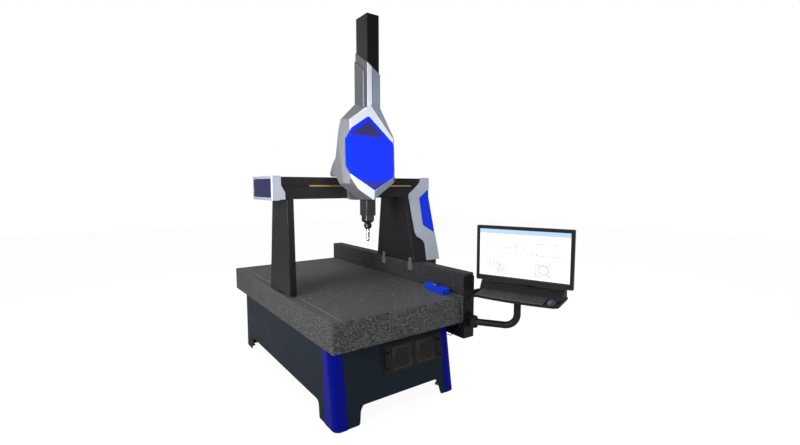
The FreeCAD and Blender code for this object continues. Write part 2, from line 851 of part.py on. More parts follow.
def bridge_bearings():
    """Air bearing pads: two under the left leg, two on top of the guide beam, two on each of its sides."""
    pads = []
    for y in left_pad_places():
        pads.append(box(leg_left_face + pad_slot + gap, leg_left_face + leg_thick - pad_slot - gap, y + gap,
                        y + 100 - gap, gap, gap + air_pad_thick))
    z_top = beam_guide_rise + gap
    for y in right_pad_places():
        pads.append(box(guide_left + 15, guide_right - 15, y, y + 90, z_top, z_top + air_pad_thick))
        inner = box(guide_left - gap - 14, guide_left - gap, y - 25, y + 35, 92, 152)
        bracket = box(guide_left - gap - 14, leg_x0, y - 12, y + 22, 152, beam_guide_rise + leg_float + 30)
        pads.append(fuse([inner, bracket]))
        outer = box(guide_right + gap, guide_right + gap + 14, y, y + 60, 76, 106)
        arm = box(guide_right + gap + 14, skirt_x0, y + 16, y + 44, 82, 100)
        pads.append(fuse([outer, arm]))
    return Part.makeCompound(pads)


skirt_x0 = guide_right + 24.0
skirt_bottom = beam_guide_rise - skirt_drop
skirt_front = right_foot_front - 2
skirt_back = right_foot_back + 6


def right_leg_skirt():
    """Black housing of the Y drive, outside the guide beam; open below and hung from the leg."""
    outer = prism("xy", [(skirt_x0, skirt_front), (skirt_outer - 40, skirt_front), (skirt_outer, skirt_front + 40),
                         (skirt_outer, skirt_back - 30), (skirt_outer - 30, skirt_back), (skirt_x0, skirt_back)],
                  skirt_bottom, beam_guide_rise + leg_float)
    w = skirt_wall
    inner = prism("xy", [(skirt_x0 + w, skirt_front + w), (skirt_outer - 40 - w / 2, skirt_front + w),
                         (skirt_outer - w, skirt_front + 40 + w / 2), (skirt_outer - w, skirt_back - 30 - w / 2),
                         (skirt_outer - 30 - w / 2, skirt_back - w), (skirt_x0 + w, skirt_back - w)],
                  skirt_bottom - 1, beam_guide_rise + leg_float - w)
    shell = outer.cut(inner)
    window = box(skirt_x0 - 1, skirt_x0 + w + 1, -210, -50, -20, 76)
    return shell.cut(window)


def y_drive_unit():
    """Motor, gearbox and belt pinch unit, bolted up under the skirt's roof."""
    roof = beam_guide_rise + leg_float - skirt_wall
    plate = box(skirt_x0 + 20, skirt_outer - 30, -190, -70, roof - 12, roof)
    hanger = box(skirt_x0 + 40, skirt_x0 + 56, -180, -80, 20, roof - 12)
    gearbox = box(skirt_x0 + 56, skirt_x0 + 100, -165, -95, 20, 90)
    motor = rod(Vector(skirt_x0 + 78, -130, 20), Vector(0, 0, -1), 32, 70)
    belt_x = guide_right + belt_stand_off
    outer_jaw = box(belt_x + belt_thick + gap, skirt_x0 + 40, -160, -100, belt_z - 4, belt_z + belt_height + 4)
    return fuse([plate, hanger, gearbox, motor, outer_jaw])


shell_right_low = 790.0


def swept_front(points, near, far, inset=0):
    """A plate that follows the leg's front: upright part and leaning part, from near to far in front."""
    flat = prism("xz", points, -900, 200, inset)
    lean_low = right_section(beam_guide_rise - 120)[0]
    z_low = beam_guide_rise - 120
    curve = [(beam_front - far, beam_top + 20), (beam_front - far, beam_bottom), (lean_low - far, z_low),
             (lean_low - near, z_low), (beam_front - near, beam_bottom), (beam_front - near, beam_top + 20)]
    band = prism("yz", curve, 400, 900)
    return flat.common(band)


cover_low = beam_guide_rise + leg_float + gap
cover_outline = [(684, 861, 10), (684, 826, 10), (560, 724, 14), (560, 694, 30), (571, 412, 16), (582, 372, 12),
                 (644, 330, 10), (657, 300, 10), (653, cover_low), (790, cover_low), (776, 690), (776, 861, 10)]
leg_window_outline = [(758, 757, 8), (666, 688, 12), (663, 462, 10), (682, 448, 8), (756, 402, 8), (820, 380), (820, 757)]


def right_leg_cover():
    """Silver shell in a lightning outline on the leg's front, returned along its outer side."""
    plate = swept_front(cover_outline, gap, shell_thick)
    opening = prism("xz", leg_window_outline, -900, 200)
    plate = plate.cut(opening)
    side = prism("yz", [(beam_front - gap, beam_top + 5), (beam_front - gap, beam_bottom),
                        (right_section(cover_low)[0] - gap, cover_low),
                        (right_section(cover_low)[0] + 150, cover_low),
                        (beam_front + 60, 560), (beam_front + 110, beam_top + 5)], leg_x1 + gap, shell_right_low)
    taper = beyond(Vector(776, 0, 690), Vector(531, 0, 14))
    side = side.cut(taper)
    roof = box(beam_right, 776, beam_front - gap, beam_front + 110, beam_bottom, beam_top + 5)
    side = side.fuse(roof)
    hollow = prism("yz", [(beam_front + 4, 757), (right_section(392)[0] + 4, 392),
                          (right_section(392)[0] + 70, 440), (beam_front + 70, 700), (beam_front + 40, 757)],
                   700, 900)
    side = side.cut(hollow.cut(box(600, shell_right_low - 26, -900, 200, 0, 900)))
    side = side.cut(prism("yz", [(beam_front - 30, 757), (right_section(392)[0] - 30, 392),
                                 (right_section(392)[0] + 4.5, 392), (beam_front + 4.5, 757)], leg_x1 + 4, 900))
    return fuse([plate, side])


def right_leg_window():
    """Translucent panel that fills the cover's opening and wraps round its outer corner."""
    plate = swept_front(leg_window_outline, gap, shell_thick - 3, gap)
    trim = beyond(Vector(774, 0, 690), Vector(531, 0, 14))
    return plate.cut(trim)


# ---------------------------------------------------------------- carriage
frame_x0 = frame_centre_x - frame_half
frame_x1 = frame_centre_x + frame_half
frame_front_in = beam_front - gap - 12.0
frame_front_out = frame_front_in - frame_plate
frame_back_in = beam_back + 26.0
frame_top_in = beam_top + gap + 2.7
frame_low_in = beam_bottom - gap - 2.7
saddle_back = -240.0
lip_left = 30.0
lip_right = 138.0
lip_back = -236.0
lip_thick = 10.0
arm_left = 54.0
arm_right = 114.0
arm_plate = 7.0
drop_low = 716.0
rib_top = 996.0
rib_thick = 10.0
spine_top = 1040.0
rail_z = 848.0
rail_thick = 10.0
rail_depth = 55.0
column_right = column_left + column_width
column_back = column_front + column_depth
bore_clear = ram_pad_thick + gap
bore_x0 = ram_centre_x - ram_width / 2 - bore_clear
bore_x1 = ram_centre_x + ram_width / 2 + bore_clear
bore_y0 = ram_centre_y - ram_depth / 2 - bore_clear
bore_y1 = ram_centre_y + ram_depth / 2 + bore_clear


def carriage_frame():
    """Saddle hooked over the beam, an arm back to the belt, and the ram's guide with the covers' rail in front."""
    p = frame_plate
    front = box(frame_x0, frame_x1, frame_front_out, frame_front_in, frame_low_in, frame_top_in + p)
    top = box(frame_x0, frame_x1, frame_front_out, saddle_back, frame_top_in, frame_top_in + p)
    lip = box(lip_left, lip_right, frame_front_out, lip_back, frame_low_in - lip_thick, frame_low_in)
    arm = box(arm_left, arm_right, saddle_back - p, frame_back_in + arm_plate, frame_top_in, frame_top_in + arm_plate)
    drop = box(arm_left, arm_right, frame_back_in, frame_back_in + arm_plate, drop_low, frame_top_in + 1)
    ribs = []
    for x in (frame_x0 + rib_thick, frame_x1 - 2 * rib_thick):
        ribs.append(prism("yz", [(frame_front_out, frame_top_in), (frame_front_out, rib_top), (frame_front_in, rib_top),
                                 (saddle_back, frame_top_in + p), (saddle_back, frame_top_in)], x, x + rib_thick))
    spine = box(frame_x0 + rib_thick, frame_x1 - rib_thick, frame_front_out, frame_front_in, frame_top_in, spine_top)
    w = guide_wall
    housing = box(bore_x0 - w, bore_x1 + w, bore_y0 - w, frame_front_in, guide_bottom, guide_top)
    flange = box(column_left, column_right, column_front, column_back, guide_top - flange_thick, guide_top)
    rail_left = cover_left + cover_wall
    rail_right = cover_right - cover_wall
    rail_front = ram_centre_y - rail_depth
    rail = box(rail_left, rail_right, rail_front, ram_centre_y - 5, rail_z, rail_z + rail_thick)
    bore = box(bore_x0, bore_x1, bore_y0, bore_y1, guide_bottom - 1, guide_top + 1)
    return fuse([front, top, lip, arm, drop, spine, housing, flange, rail] + ribs).cut(bore)


def carriage_bearings():
    """Air bearing pads on the beam's front, top and underside and round the ram."""
    pads = []
    for x in (frame_x0 + 8, frame_x1 - 68):
        for z in (beam_bottom + 14, beam_top - 50):
            pads.append(box(x, x + 60, frame_front_in, beam_front - gap, z, z + 36))
        pads.append(box(x, x + 60, beam_front + 8, saddle_back - 4, beam_top + gap, frame_top_in))
    middle = (lip_left + lip_right) / 2
    pads.append(box(middle - 30, middle + 30, beam_front + 8, lip_back - 4, frame_low_in, beam_bottom - gap))
    for z in (guide_bottom + 10, guide_top - 80):
        for side in (-1, 1):
            near = ram_centre_x + side * (ram_width / 2 + gap)
            far = ram_centre_x + side * (ram_width / 2 + bore_clear)
            pads.append(box(min(near, far), max(near, far), ram_centre_y - 30, ram_centre_y + 30, z, z + 70))
            near = ram_centre_y + side * (ram_depth / 2 + gap)
            far = ram_centre_y + side * (ram_depth / 2 + bore_clear)
            pads.append(box(ram_centre_x - 30, ram_centre_x + 30, min(near, far), max(near, far), z, z + 70))
    return Part.makeCompound(pads)


# Corners of the carriage cover; the front face leans back by cover_lean per millimetre of height.
cover_lean = 0.09
cover_front = -537.0
cover_front_z = 759.0
cover_left = -150.0
cover_right = 287.0
cover_floor = 690.0
cover_ceiling = 1430.0
chin_recess = 12.0
window_proud = -0.8
window_thick = 3.2


def on_cover(x, z, behind=0.0):
    """Point of the cover's leaning front face, or a distance behind it."""
    return Vector(x, cover_front + cover_lean * (z - cover_front_z) + behind, z)


def plane_normal(a, b, c, outward):
    normal = (b - a).cross(c - a)
    normal.normalize()
    return normal if normal.dot(outward) > 0 else normal * -1


def facet(a, b, c, outward):
    """Plane through three corners with its outward normal."""
    return a, plane_normal(a, b, c, outward)


window_left_low = on_cover(-120, 879)
window_right_low = on_cover(240, 849)
window_foot = on_cover(77, 757)
chin_tip = on_cover(76, cover_floor, chin_recess)
left_low = on_cover(-119, 805)
left_high = on_cover(-97, 1267)
right_low = on_cover(247, 811)
right_high = on_cover(265, 1137)
side_rear = Vector(cover_left, -359, 999)
side_rear_high = Vector(-136, -414, 1267)
side_rear_low = Vector(cover_left, -422, 803)
right_rear = Vector(cover_right, -359, 999)
shoulder_right = Vector(281, -400, 1137)
neck_foot_right = Vector(161, neck_back, 1370)
neck_foot_left = Vector(neck_left, neck_back, 1420)


def cover_facets():
    """Planes of the carriage cover: a point on each and its outward normal."""
    back = Vector(0, 1, 0)
    chin_left = Vector(left_low.x, left_low.y + chin_recess, left_low.z)
    chin_right = Vector(250, left_low.y + chin_recess, 811)
    facets = [(left_low, Vector(0, -1, cover_lean)), (neck_foot_left, back)]
    facets.append(facet(window_left_low, window_foot, chin_tip, Vector(0, -1, 0)))
    facets.append(facet(window_right_low, window_foot, chin_tip, Vector(0, -1, 0)))
    facets.append(facet(left_low, left_high, Vector(cover_left, -459, 875), Vector(-1, -1, 0)))
    facets.append(facet(right_low, right_high, Vector(cover_right, -492, 900), Vector(1, -1, 0)))
    facets.append((side_rear, Vector(-1, 0, 0)))
    facets.append((right_rear, Vector(1, 0, 0)))
    facets.append(facet(side_rear, side_rear_high, neck_foot_left, Vector(-1, 1, 0)))
    facets.append(facet(right_rear, Vector(cover_right, -400, 1125), neck_foot_right, Vector(1, 1, 0)))
    facets.append(facet(side_rear_low, Vector(cover_left, -365, 858), Vector(76, frame_front_out, cover_floor),
                        Vector(-1, 1, -1)))
    facets.append(facet(chin_tip, chin_left, side_rear_low, Vector(0, 0, -1)))
    facets.append(facet(chin_tip, chin_right, chin_tip + back, Vector(0, 0, -1)))
    facets.append(facet(left_high, side_rear_high, on_cover(45, 1357), Vector(-1, 0, 1)))
    facets.append(facet(shoulder_right, neck_foot_right, shoulder_right + back, Vector(1, 0, 1)))
    return facets


def cover_body(inset):
    start = box(-400, 600, -700, 200, cover_floor + inset, cover_ceiling)
    return facet_body(start, cover_facets(), inset)


bulge_left = -118.0
bulge_right = 281.0
bulge_profile = [(-228, 861), (-202, 880), (-208, 897), (-240, 950), (-276, 986), (-300, 1003)]


def bulge_body(inset):
    """Low rear part of the cover over the beam's top."""
    front = frame_front_out - 5
    points = [(front, bulge_profile[0][1] - 2 * inset)]
    points += [(y - inset, z - inset * 0.6 if z > 890 else z - 2 * inset) for y, z in bulge_profile]
    points.append((front, bulge_profile[-1][1] - inset * 0.6))
    return prism("yz", points, bulge_left + inset, bulge_right - inset)


window_outline = [(77, 757, 8), (246, 852, 14), (274, 905, 14), (277, 1080, 14), (260, 1118, 14), (58, 1303, 24),
                  (-97, 1201, 14), (-126, 1126, 14), (-134, 931, 14), (-120, 879, 14)]


def cover_split():
    """Everything behind the seam: it follows the left front corner and crosses the right side."""
    a = left_low + Vector(0, cover_wall + 1, 0)
    b = left_high + Vector(0, cover_wall + 1, 0)
    c = Vector(cover_right, -465, 1000)
    return beyond(a, plane_normal(a, b, c, Vector(0, 1, 0)))


def beam_zone():
    """Room that the covers leave for the beam, the carriage frame and the ram guide."""
    clear = 3.0
    room = box(-700, 900, frame_front_out - 5, 300, 500, beam_top + 2 * clear)
    wrap = box(frame_x0 - clear, frame_x1 + clear, frame_front_out - 5, saddle_back + clear, 500,
               frame_top_in + frame_plate + clear)
    ram_way = box(bore_x0 - clear, bore_x1 + clear, bore_y0 - clear, frame_front_out, 500, guide_bottom + clear)
    return Part.makeCompound([room, wrap, ram_way])


def neck_outline(inset):
    x0 = neck_left + inset
    x1 = neck_right - inset
    y0 = neck_front + inset
    y1 = neck_back - inset
    return [(x0, y0, 3), (x1, y0, 3), (x1, y1, 3), (x0, y1, 3)]


def cover_shell():
    outer = cover_body(0).fuse(bulge_body(0))
    inner = cover_body(cover_wall).fuse(bulge_body(cover_wall))
    throat = prism("xy", neck_outline(neck_wall), 1300, cover_ceiling + 1)
    opening = prism("xz", window_outline, -700, -440)
    return outer.cut(inner).cut(throat).cut(beam_zone()).cut(opening)


def biggest(shape):
    """The largest solid of a result, without slivers that a cut leaves."""
    return max(shape.Solids, key=lambda solid: solid.Volume)


def front_cover():
    """Silver frame of the carriage: leaning face, right chamfer, shoulders' front and a ridged V-shaped chin."""
    return biggest(cover_shell().cut(cover_split()))


def rear_cover():
    """Left chamfer, sides, shoulders and rear walls of the cover with the low bulge over the beam."""
    rear = cover_shell().common(cover_split())
    return biggest(rear.common(moved(cover_split(), Vector(0, gap, 0))))


def front_window():
    """Translucent window that fills the opening and wraps round both front corners."""
    shell = cover_body(-window_proud).cut(cover_body(window_thick - window_proud))
    return biggest(shell.common(prism("xz", window_outline, -700, -440, gap)))


def neck_cover():
    """Sleeve round the dust column: oblique top, a raised panel on each side and a groove down its front."""
    top_corner = Vector(54, -309, 1791)
    top = plane_normal(top_corner, Vector(59, -478, 1684), Vector(169, -478, 1609), Vector(0, 0, 1))
    sleeve = prism("xy", neck_outline(0), 1300, 1840).cut(beyond(top_corner, top))
    parts = [sleeve]
    for x0, x1 in ((neck_left - neck_panel_proud, neck_left + 1), (neck_right - 1, neck_right + neck_panel_proud)):
        parts.append(prism("yz", [(-430, 1300), (neck_back, 1300), (neck_back, 1732, 6), (-430, 1640, 14)], x0, x1))
    sleeve = fuse(parts).cut(prism("xy", neck_outline(neck_wall), 1290, 1850)).cut(cover_body(-gap))
    groove = box(neck_left + 40, neck_left + 42, neck_front - 1, neck_front + 1.2, 1300, 1850)
    return biggest(sleeve.cut(groove))


def ram_column():
    """Closed square dust tube that stands on the ram guide's flange and hides the raised ram."""
    outer = box(column_left, column_right, column_front, column_back, guide_top, column_top)
    edges = [e for e in outer.Edges if e.Length > 500]
    outer = outer.makeFillet(3.0, edges)
    w = column_wall
    inner = box(column_left + w, column_right - w, column_front + w, column_back - w, guide_top - 1, column_top - w)
    return outer.cut(inner)


def carriage_drives():
    """The X drive on the arm behind the beam and the Z drive beside the ram guide."""
    belt_y = beam_back + 10
    z = beam_bottom + 72
    grip = box(arm_left + 5, arm_right - 5, belt_y + belt_thick + gap, frame_back_in, z - 20, z + 20)
    face = frame_back_in + arm_plate
    case = box(arm_left, arm_right, face, face + 40, z - 40, z + 20)
    motor = rod(Vector((arm_left + arm_right) / 2, face + 20, z + 20), Vector(0, 0, 1), 18, 50)
    z_case = box(frame_x0 + 10, bore_x0 - guide_wall, ram_centre_y - 40, frame_front_out, spine_top - 70, spine_top)
    z_motor = rod(Vector(frame_x0 + 42, ram_centre_y, spine_top - 70), Vector(0, 0, -1), 28, 90)
    return Part.makeCompound([grip, case.fuse(motor), z_case.fuse(z_motor)])


# ---------------------------------------------------------------- ram and probe head
def ram():
    """Square ceramic tube, closed at its foot by the head's mounting plate."""
    x0 = ram_centre_x - ram_width / 2
    x1 = ram_centre_x + ram_width / 2
    y0 = ram_centre_y - ram_depth / 2
    y1 = ram_centre_y + ram_depth / 2
    outer = box(x0, x1, y0, y1, ram_bottom, ram_bottom + ram_length)
    edges = [e for e in outer.Edges if e.Length > 500]
    outer = outer.makeChamfer(2.5, edges)
    inner = box(x0 + ram_wall, x1 - ram_wall, y0 + ram_wall, y1 - ram_wall, ram_bottom + 12, ram_bottom + ram_length + 1)
    return outer.cut(inner)


def z_drive_belt():
    """Belt clamped to the inside of the ram's back wall, top and bottom."""
    y1 = ram_centre_y + ram_depth / 2 - ram_wall
    belt = box(ram_centre_x - 8, ram_centre_x + 8, y1 - 9, y1 - 6, ram_bottom + 40, ram_bottom + ram_length - 20)
    parts = [belt]
    for z in (ram_bottom + 40, ram_bottom + ram_length - 50):
        parts.append(box(ram_centre_x - 14, ram_centre_x + 14, y1 - 6, y1, z, z + 30))
    return fuse(parts)


head_z = ram_bottom - head_height
ball_z = head_z - ball_drop
fork_top = head_z - gap
disc_low = ball_z + drum_radius + 2 * gap
probe_top = ball_z - ball_radius
axis = Vector(ram_centre_x, ram_centre_y, 0)


def revolve(profile):
    """Solid of revolution about the ram's axis."""
    wire = Part.makePolygon([Vector(r, 0, z) for r, z in profile + profile[:1]])
    body = Part.Face(wire).revolve(Vector(0, 0, 0), Vector(0, 0, 1), 360)
    return moved(Part.makeSolid(body.Shells[0]), axis)


def square_ring(half, corner, z):
    ring = outline([(-half, -half, corner), (half, -half, corner), (half, half, corner), (-half, half, corner)])
    return moved(ring, axis + Vector(0, 0, z))


def probe_head():
    """Square head body with round corners, tapered towards the ball, and the swivel's bore below."""
    half = head_width / 2
    block = prism("xy", [(-half, -half, 14), (half, -half, 14), (half, half, 14), (-half, half, 14)],
                  head_z + head_taper, ram_bottom)
    taper = Part.makeLoft([square_ring(half, 14, head_z + head_taper), square_ring(half - head_inset, 12, head_z)],
                          True, True)
    seam = ring_tube((-half - 1, half + 1, -half - 1, half + 1), 2.5, head_z + 34, head_z + 36)
    body = moved(block, axis).cut(moved(seam, axis)).fuse(taper)
    return body.removeSplitter().cut(rod(axis + Vector(0, 0, head_z - 1), Vector(0, 0, 1), spigot_radius + gap,
                                         spigot_length + 2))


def head_swivel():
    """Ball-shaped fork whose flat-sided bridge turns in the head; it holds the tilting drum."""
    ball = Part.makeSphere(ball_radius, axis + Vector(0, 0, ball_z))
    ball = ball.cut(box(-500, 500, -900, 0, disc_low, ball_z + 100))
    half = fork_slot / 2
    slot = box(axis.x - half, axis.x + half, axis.y - 100, axis.y + 100, ball_z - 50, disc_low)
    bridge = rod(axis + Vector(0, 0, disc_low - 1), Vector(0, 0, 1), spigot_radius + 8, fork_top - disc_low + 1)
    bridge = bridge.common(box(axis.x - 50, axis.x + 50, axis.y - fork_bridge / 2, axis.y + fork_bridge / 2,
                               disc_low - 2, fork_top + 1))
    spigot = rod(axis + Vector(0, 0, fork_top), Vector(0, 0, 1), spigot_radius, spigot_length)
    return fuse([ball.cut(slot), bridge, spigot]).cut(slot)


def head_knuckle():
    """Tilting drum between the fork's cheeks, with the probe's magnetic seat below."""
    half = fork_slot / 2 - gap
    drum = rod(axis + Vector(-half, 0, ball_z), Vector(1, 0, 0), drum_radius, 2 * half)
    seat = revolve([(0, ball_z - 4), (seat_radius, ball_z - 4), (seat_radius, probe_top), (0, probe_top)])
    return fuse([drum, seat])


def probe():
    """Silver touch probe: body with two grooves, a knurled ring's step and a tapered end."""
    z = probe_top
    r = probe_radius
    low = z - probe_length
    return revolve([(0, z), (r - 1, z), (r, z - 2), (r, z - 22), (r - 1, z - 23), (r - 1, z - 25), (r, z - 26),
                    (r, z - 60), (r - 1.5, z - 62), (r - 1.5, low + 16), (r - 5, low + 6), (6, low), (0, low)])


def stylus():
    """Threaded boss, stem and ruby ball."""
    z = probe_top - probe_length
    tip = z - stylus_length
    r = stylus_radius
    boss = revolve([(0, z), (2.5, z), (2.5, z - 6), (r, z - 8), (r, tip + ruby_radius), (0, tip + ruby_radius)])
    return fuse([boss, Part.makeSphere(ruby_radius, axis + Vector(0, 0, tip + ruby_radius))])


# ---------------------------------------------------------------- operator arm and console
def arm_bracket():
    """Welded bracket on the front plate with the two lugs of the arm's pivot."""
    z0 = arm_axis_z - 25 - gap
    z1 = arm_axis_z + 25 + gap
    parts = []
    for z in (z0 - 12, z1):
        lug = rod(Vector(arm_pivot.x, arm_pivot.y, z), Vector(0, 0, 1), 32, 12)
        tongue = box(arm_pivot.x - 32, arm_pivot.x + 32, arm_pivot.y, table_front, z, z + 12)
        parts.append(lug.fuse(tongue))
    web = box(arm_pivot.x - 32, arm_pivot.x + 32, table_front - 10, table_front, z0 - 30, z1 + 30)
    pin = rod(Vector(arm_pivot.x, arm_pivot.y, z0 - 18), Vector(0, 0, 1), 10, z1 - z0 + 36)
    return fuse(parts + [web, pin])


arm_way = arm_foot - arm_pivot
arm_reach = arm_way.Length
arm_heading = Vector(arm_way)
arm_heading.normalize()


def arm_path(start, top):
    """Centre line of the arm: level run, quarter bend, upright run."""
    level = Vector(0, 0, arm_axis_z)
    a = arm_pivot + arm_heading * start + level
    b = arm_foot - arm_heading * arm_bend + level
    centre = b + Vector(0, 0, arm_bend)
    c = arm_foot + level + Vector(0, 0, arm_bend)
    mid = centre + (arm_heading - Vector(0, 0, 1)) * (arm_bend * math.sqrt(0.5))
    d = Vector(arm_foot.x, arm_foot.y, top)
    return Part.Wire([Part.makeLine(a, b), Part.Arc(b, mid, c).toShape(), Part.makeLine(c, d)])


def pipe(path, radius):
    start = path.OrderedVertexes[0].Point
    edge = path.OrderedEdges[0]
    direction = edge.tangentAt(edge.FirstParameter)
    circle = Part.Wire(Part.makeCircle(radius, start, direction))
    return path.makePipeShell([circle], True, False)


def arm_tube():
    """Bent tube with the pivot barrel at one end and the console's spigot at the other."""
    skin = pipe(arm_path(20, arm_top_z), arm_radius)
    bore = pipe(arm_path(45, arm_top_z - 12), arm_radius - arm_wall)
    tube = skin.cut(bore)
    barrel = rod(Vector(arm_pivot.x, arm_pivot.y, arm_axis_z - 25), Vector(0, 0, 1), 30, 50)
    spigot = rod(Vector(arm_foot.x, arm_foot.y, arm_top_z), Vector(0, 0, 1), 10, 20)
    body = fuse([tube, barrel, spigot])
    return body.cut(rod(Vector(arm_pivot.x, arm_pivot.y, arm_axis_z - 30), Vector(0, 0, 1), 10.05, 60))


def console(shape):
    """Places a shape drawn about the arm's upright, x to the user's right and y away from the user."""
    placed = turned(shape, console_angle)
    return moved(placed, Vector(arm_foot.x, arm_foot.y, 0))


def operator_tray():
    """Dished tray with a bowed front edge, a hub below and a raised housing along its back."""
    front = -153.0
    back = front + tray_depth
    half = tray_width / 2

    def rim(inset, z0, z1):
        left = Vector(-half + inset + 40, front + inset + 10, 0)
        right = Vector(half - inset - 40, front + inset + 10, 0)
        bow = Part.Arc(left, Vector(0, front + inset - 12, 0), right).toShape()
        r = Part.Arc(right, Vector(half - inset - 12, front + inset + 24, 0), Vector(half - inset, front + inset + 60, 0))
        l = Part.Arc(Vector(-half + inset, front + inset + 60, 0), Vector(-half + inset + 12, front + inset + 24, 0), left)
        rest = Part.makePolygon([Vector(half - inset, front + inset + 60, 0), Vector(half - inset, back - inset, 0),
                                 Vector(-half + inset, back - inset, 0), Vector(-half + inset, front + inset + 60, 0)])
        wire = Part.Wire([bow, r.toShape()] + rest.Edges + [l.toShape()])
        return Part.Face(wire).extrude(Vector(0, 0, z1 - z0)).translated(Vector(0, 0, z0))

    pan = rim(0, tray_z, tray_z + tray_rim).cut(rim(5, tray_z + tray_plate, tray_z + tray_rim + 1))
    hub = rod(Vector(0, 0, arm_top_z + gap), Vector(0, 0, 1), 40, tray_z - arm_top_z - gap)
    back_box = prism("yz", [(20, tray_z + tray_plate), (back, tray_z + tray_plate), (back, 96, 6), (66, 96, 6)],
                     -half + 6, half - 6)
    body = fuse([pan, hub, back_box])
    body = body.cut(rod(Vector(0, 0, arm_top_z - 1), Vector(0, 0, 1), 10.3, 21.4))
    return console(body)


tilt_axis = Vector(monitor_shift_x, monitor_face_y + monitor_thick + 34, 300.0)


def monitor_mount():
    """Upright on the tray's housing with the two ears of the monitor's tilt pin."""
    post = prism("yz", [(70, 96), (140, 96), (118, 170), (106, 276), (84, 276), (82, 170)],
                 tilt_axis.x - 45, tilt_axis.x + 45)
    parts = [post]
    for x in (tilt_axis.x - 40, tilt_axis.x + 28):
        ear = prism("yz", [(tilt_axis.y - 12, 276), (tilt_axis.y + 22, 276), (tilt_axis.y + 12, 308, 8),
                           (tilt_axis.y - 12, 314, 8)], x, x + 12)
        parts.append(ear)
    pin = rod(Vector(tilt_axis.x - 46, tilt_axis.y, tilt_axis.z), Vector(1, 0, 0), 6, 92)
    return console(fuse(parts + [pin]))


def monitor_housing():
    """Rear-swelled shell with a raised bezel and the tilt block on its back."""
    x0 = monitor_shift_x - monitor_width / 2
    x1 = x0 + monitor_width
    z0 = monitor_centre_z - monitor_height / 2
    z1 = z0 + monitor_height
    y0 = monitor_face_y
    slab = prism("xz", [(x0, z0, 8), (x1, z0, 8), (x1, z1, 8), (x0, z1, 8)], y0, y0 + 18)
    swell = Part.makeLoft([outline_at(x0 + 20, x1 - 20, z0 + 20, z1 - 20, y0 + 18),
                           outline_at(x0 + 90, x1 - 90, z0 + 70, z1 - 70, y0 + monitor_thick)], True, True)
    block = box(tilt_axis.x - 27.7, tilt_axis.x + 27.7, y0 + monitor_thick - 1, tilt_axis.y + 12,
                tilt_axis.z - 16, tilt_axis.z + 16)
    body = fuse([slab, swell, block])
    b = monitor_bezel
    recess = box(x0 + b, x1 - b, y0 - 1, y0 + 4, z0 + b + 5, z1 - b)
    pin = rod(Vector(tilt_axis.x - 50, tilt_axis.y, tilt_axis.z), Vector(1, 0, 0), 6.05, 100)
    return console(body.cut(recess).cut(pin))


def outline_at(x0, x1, z0, z1, y):
    return Part.makePolygon([Vector(x0, y, z0), Vector(x1, y, z0), Vector(x1, y, z1), Vector(x0, y, z1),
                             Vector(x0, y, z0)])


def monitor_screen():
    x0 = monitor_shift_x - monitor_width / 2 + monitor_bezel
    x1 = x0 + monitor_width - 2 * monitor_bezel
    z0 = monitor_centre_z - monitor_height / 2 + monitor_bezel + 5
    z1 = monitor_centre_z + monitor_height / 2 - monitor_bezel
    return console(box(x0 + 0.3, x1 - 0.3, monitor_face_y + 1.5, monitor_face_y + 4, z0 + 0.3, z1 - 0.3))


keyboard_left = -261.0
keyboard_front = -133.0
key_pitch = 19.0
key_gap = 1.0


def keyboard():
    """Wedge-shaped base with six rows of caps in typing, cursor and number blocks."""
    x0 = keyboard_left
    y0 = keyboard_front
    z0 = tray_z + tray_plate
    body = prism("yz", [(y0, z0, 2), (y0 + keyboard_depth, z0, 2), (y0 + keyboard_depth, z0 + 20, 4), (y0, z0 + 10, 4)],
                 x0, x0 + keyboard_width)
    caps = []
    rise = 10.0 / keyboard_depth
    for row in range(6):
        y = y0 + 14 + row * key_pitch + (10 if row == 5 else 0)
        z = z0 + 10 + (y - y0 + 8) * rise
        blocks = ((0, 15), (15.6, 3), (19.2, 4))
        for first, count in blocks:
            if row == 0 and first == 0:
                spans = [(0, 1.3), (1.3, 1.3), (2.6, 1.3), (3.9, 6.2), (10.1, 1.3), (11.4, 1.3), (12.7, 2.3)]
            else:
                spans = [(k, 1) for k in range(count)]
            for start, width in spans:
                if first == 15.6 and row == 2:
                    continue
                xa = x0 + 12 + (first + start) * key_pitch
                xb = xa + width * key_pitch
                cap = box(xa + key_gap, xb - key_gap, y + key_gap, y + key_pitch - key_gap, z - 3, z + 5)
                caps.append(cap)
    return console(fuse([body] + caps))


def mouse():
    """Domed mouse: an ellipsoid cut flat, on the tray to the right of the keyboard."""
    dome = Part.makeSphere(30)
    stretch = FreeCAD.Matrix()
    stretch.scale(1.03, 1.75, 1.05)
    dome = dome.transformGeometry(stretch)
    dome = dome.cut(box(-80, 80, -80, 80, -60, 0))
    dome = moved(dome, Vector(243, -70, tray_z + tray_plate))
    return console(dome)


# ---------------------------------------------------------------- handset
def on_table(shape):
    return moved(turned(shape, handset_angle), handset_place)


def handset_case():
    """Jog box with a sunk panel, a strain relief at its near end and rounded edges."""
    half = handset_length / 2
    w = handset_width / 2
    body = box(-w, w, -half, half, 0, handset_height)
    body = body.makeFillet(6.0, [e for e in body.Edges if e.BoundBox.ZMax > 1])
    body = body.cut(prism("xy", [(-w + 9, -62, 8), (w - 9, -62, 8), (w - 9, 62, 8), (-w + 9, 62, 8)],
                          handset_height - 3, handset_height + 1))
    body = body.cut(rod(Vector(0, -14, handset_height - 20), Vector(0, 0, 1), 17, 40))
    for y in (32.0, 52.0):
        body = body.cut(rod(Vector(0, y, handset_height - 13), Vector(0, 0, 1), 7.3, 30))
    relief = Part.makeCone(8, 5, 16, Vector(0, -half + 2, 22), Vector(0, -1, 0))
    return on_table(fuse([body, relief]))


stick_z = handset_height - 8.0
stick_y = -14.0


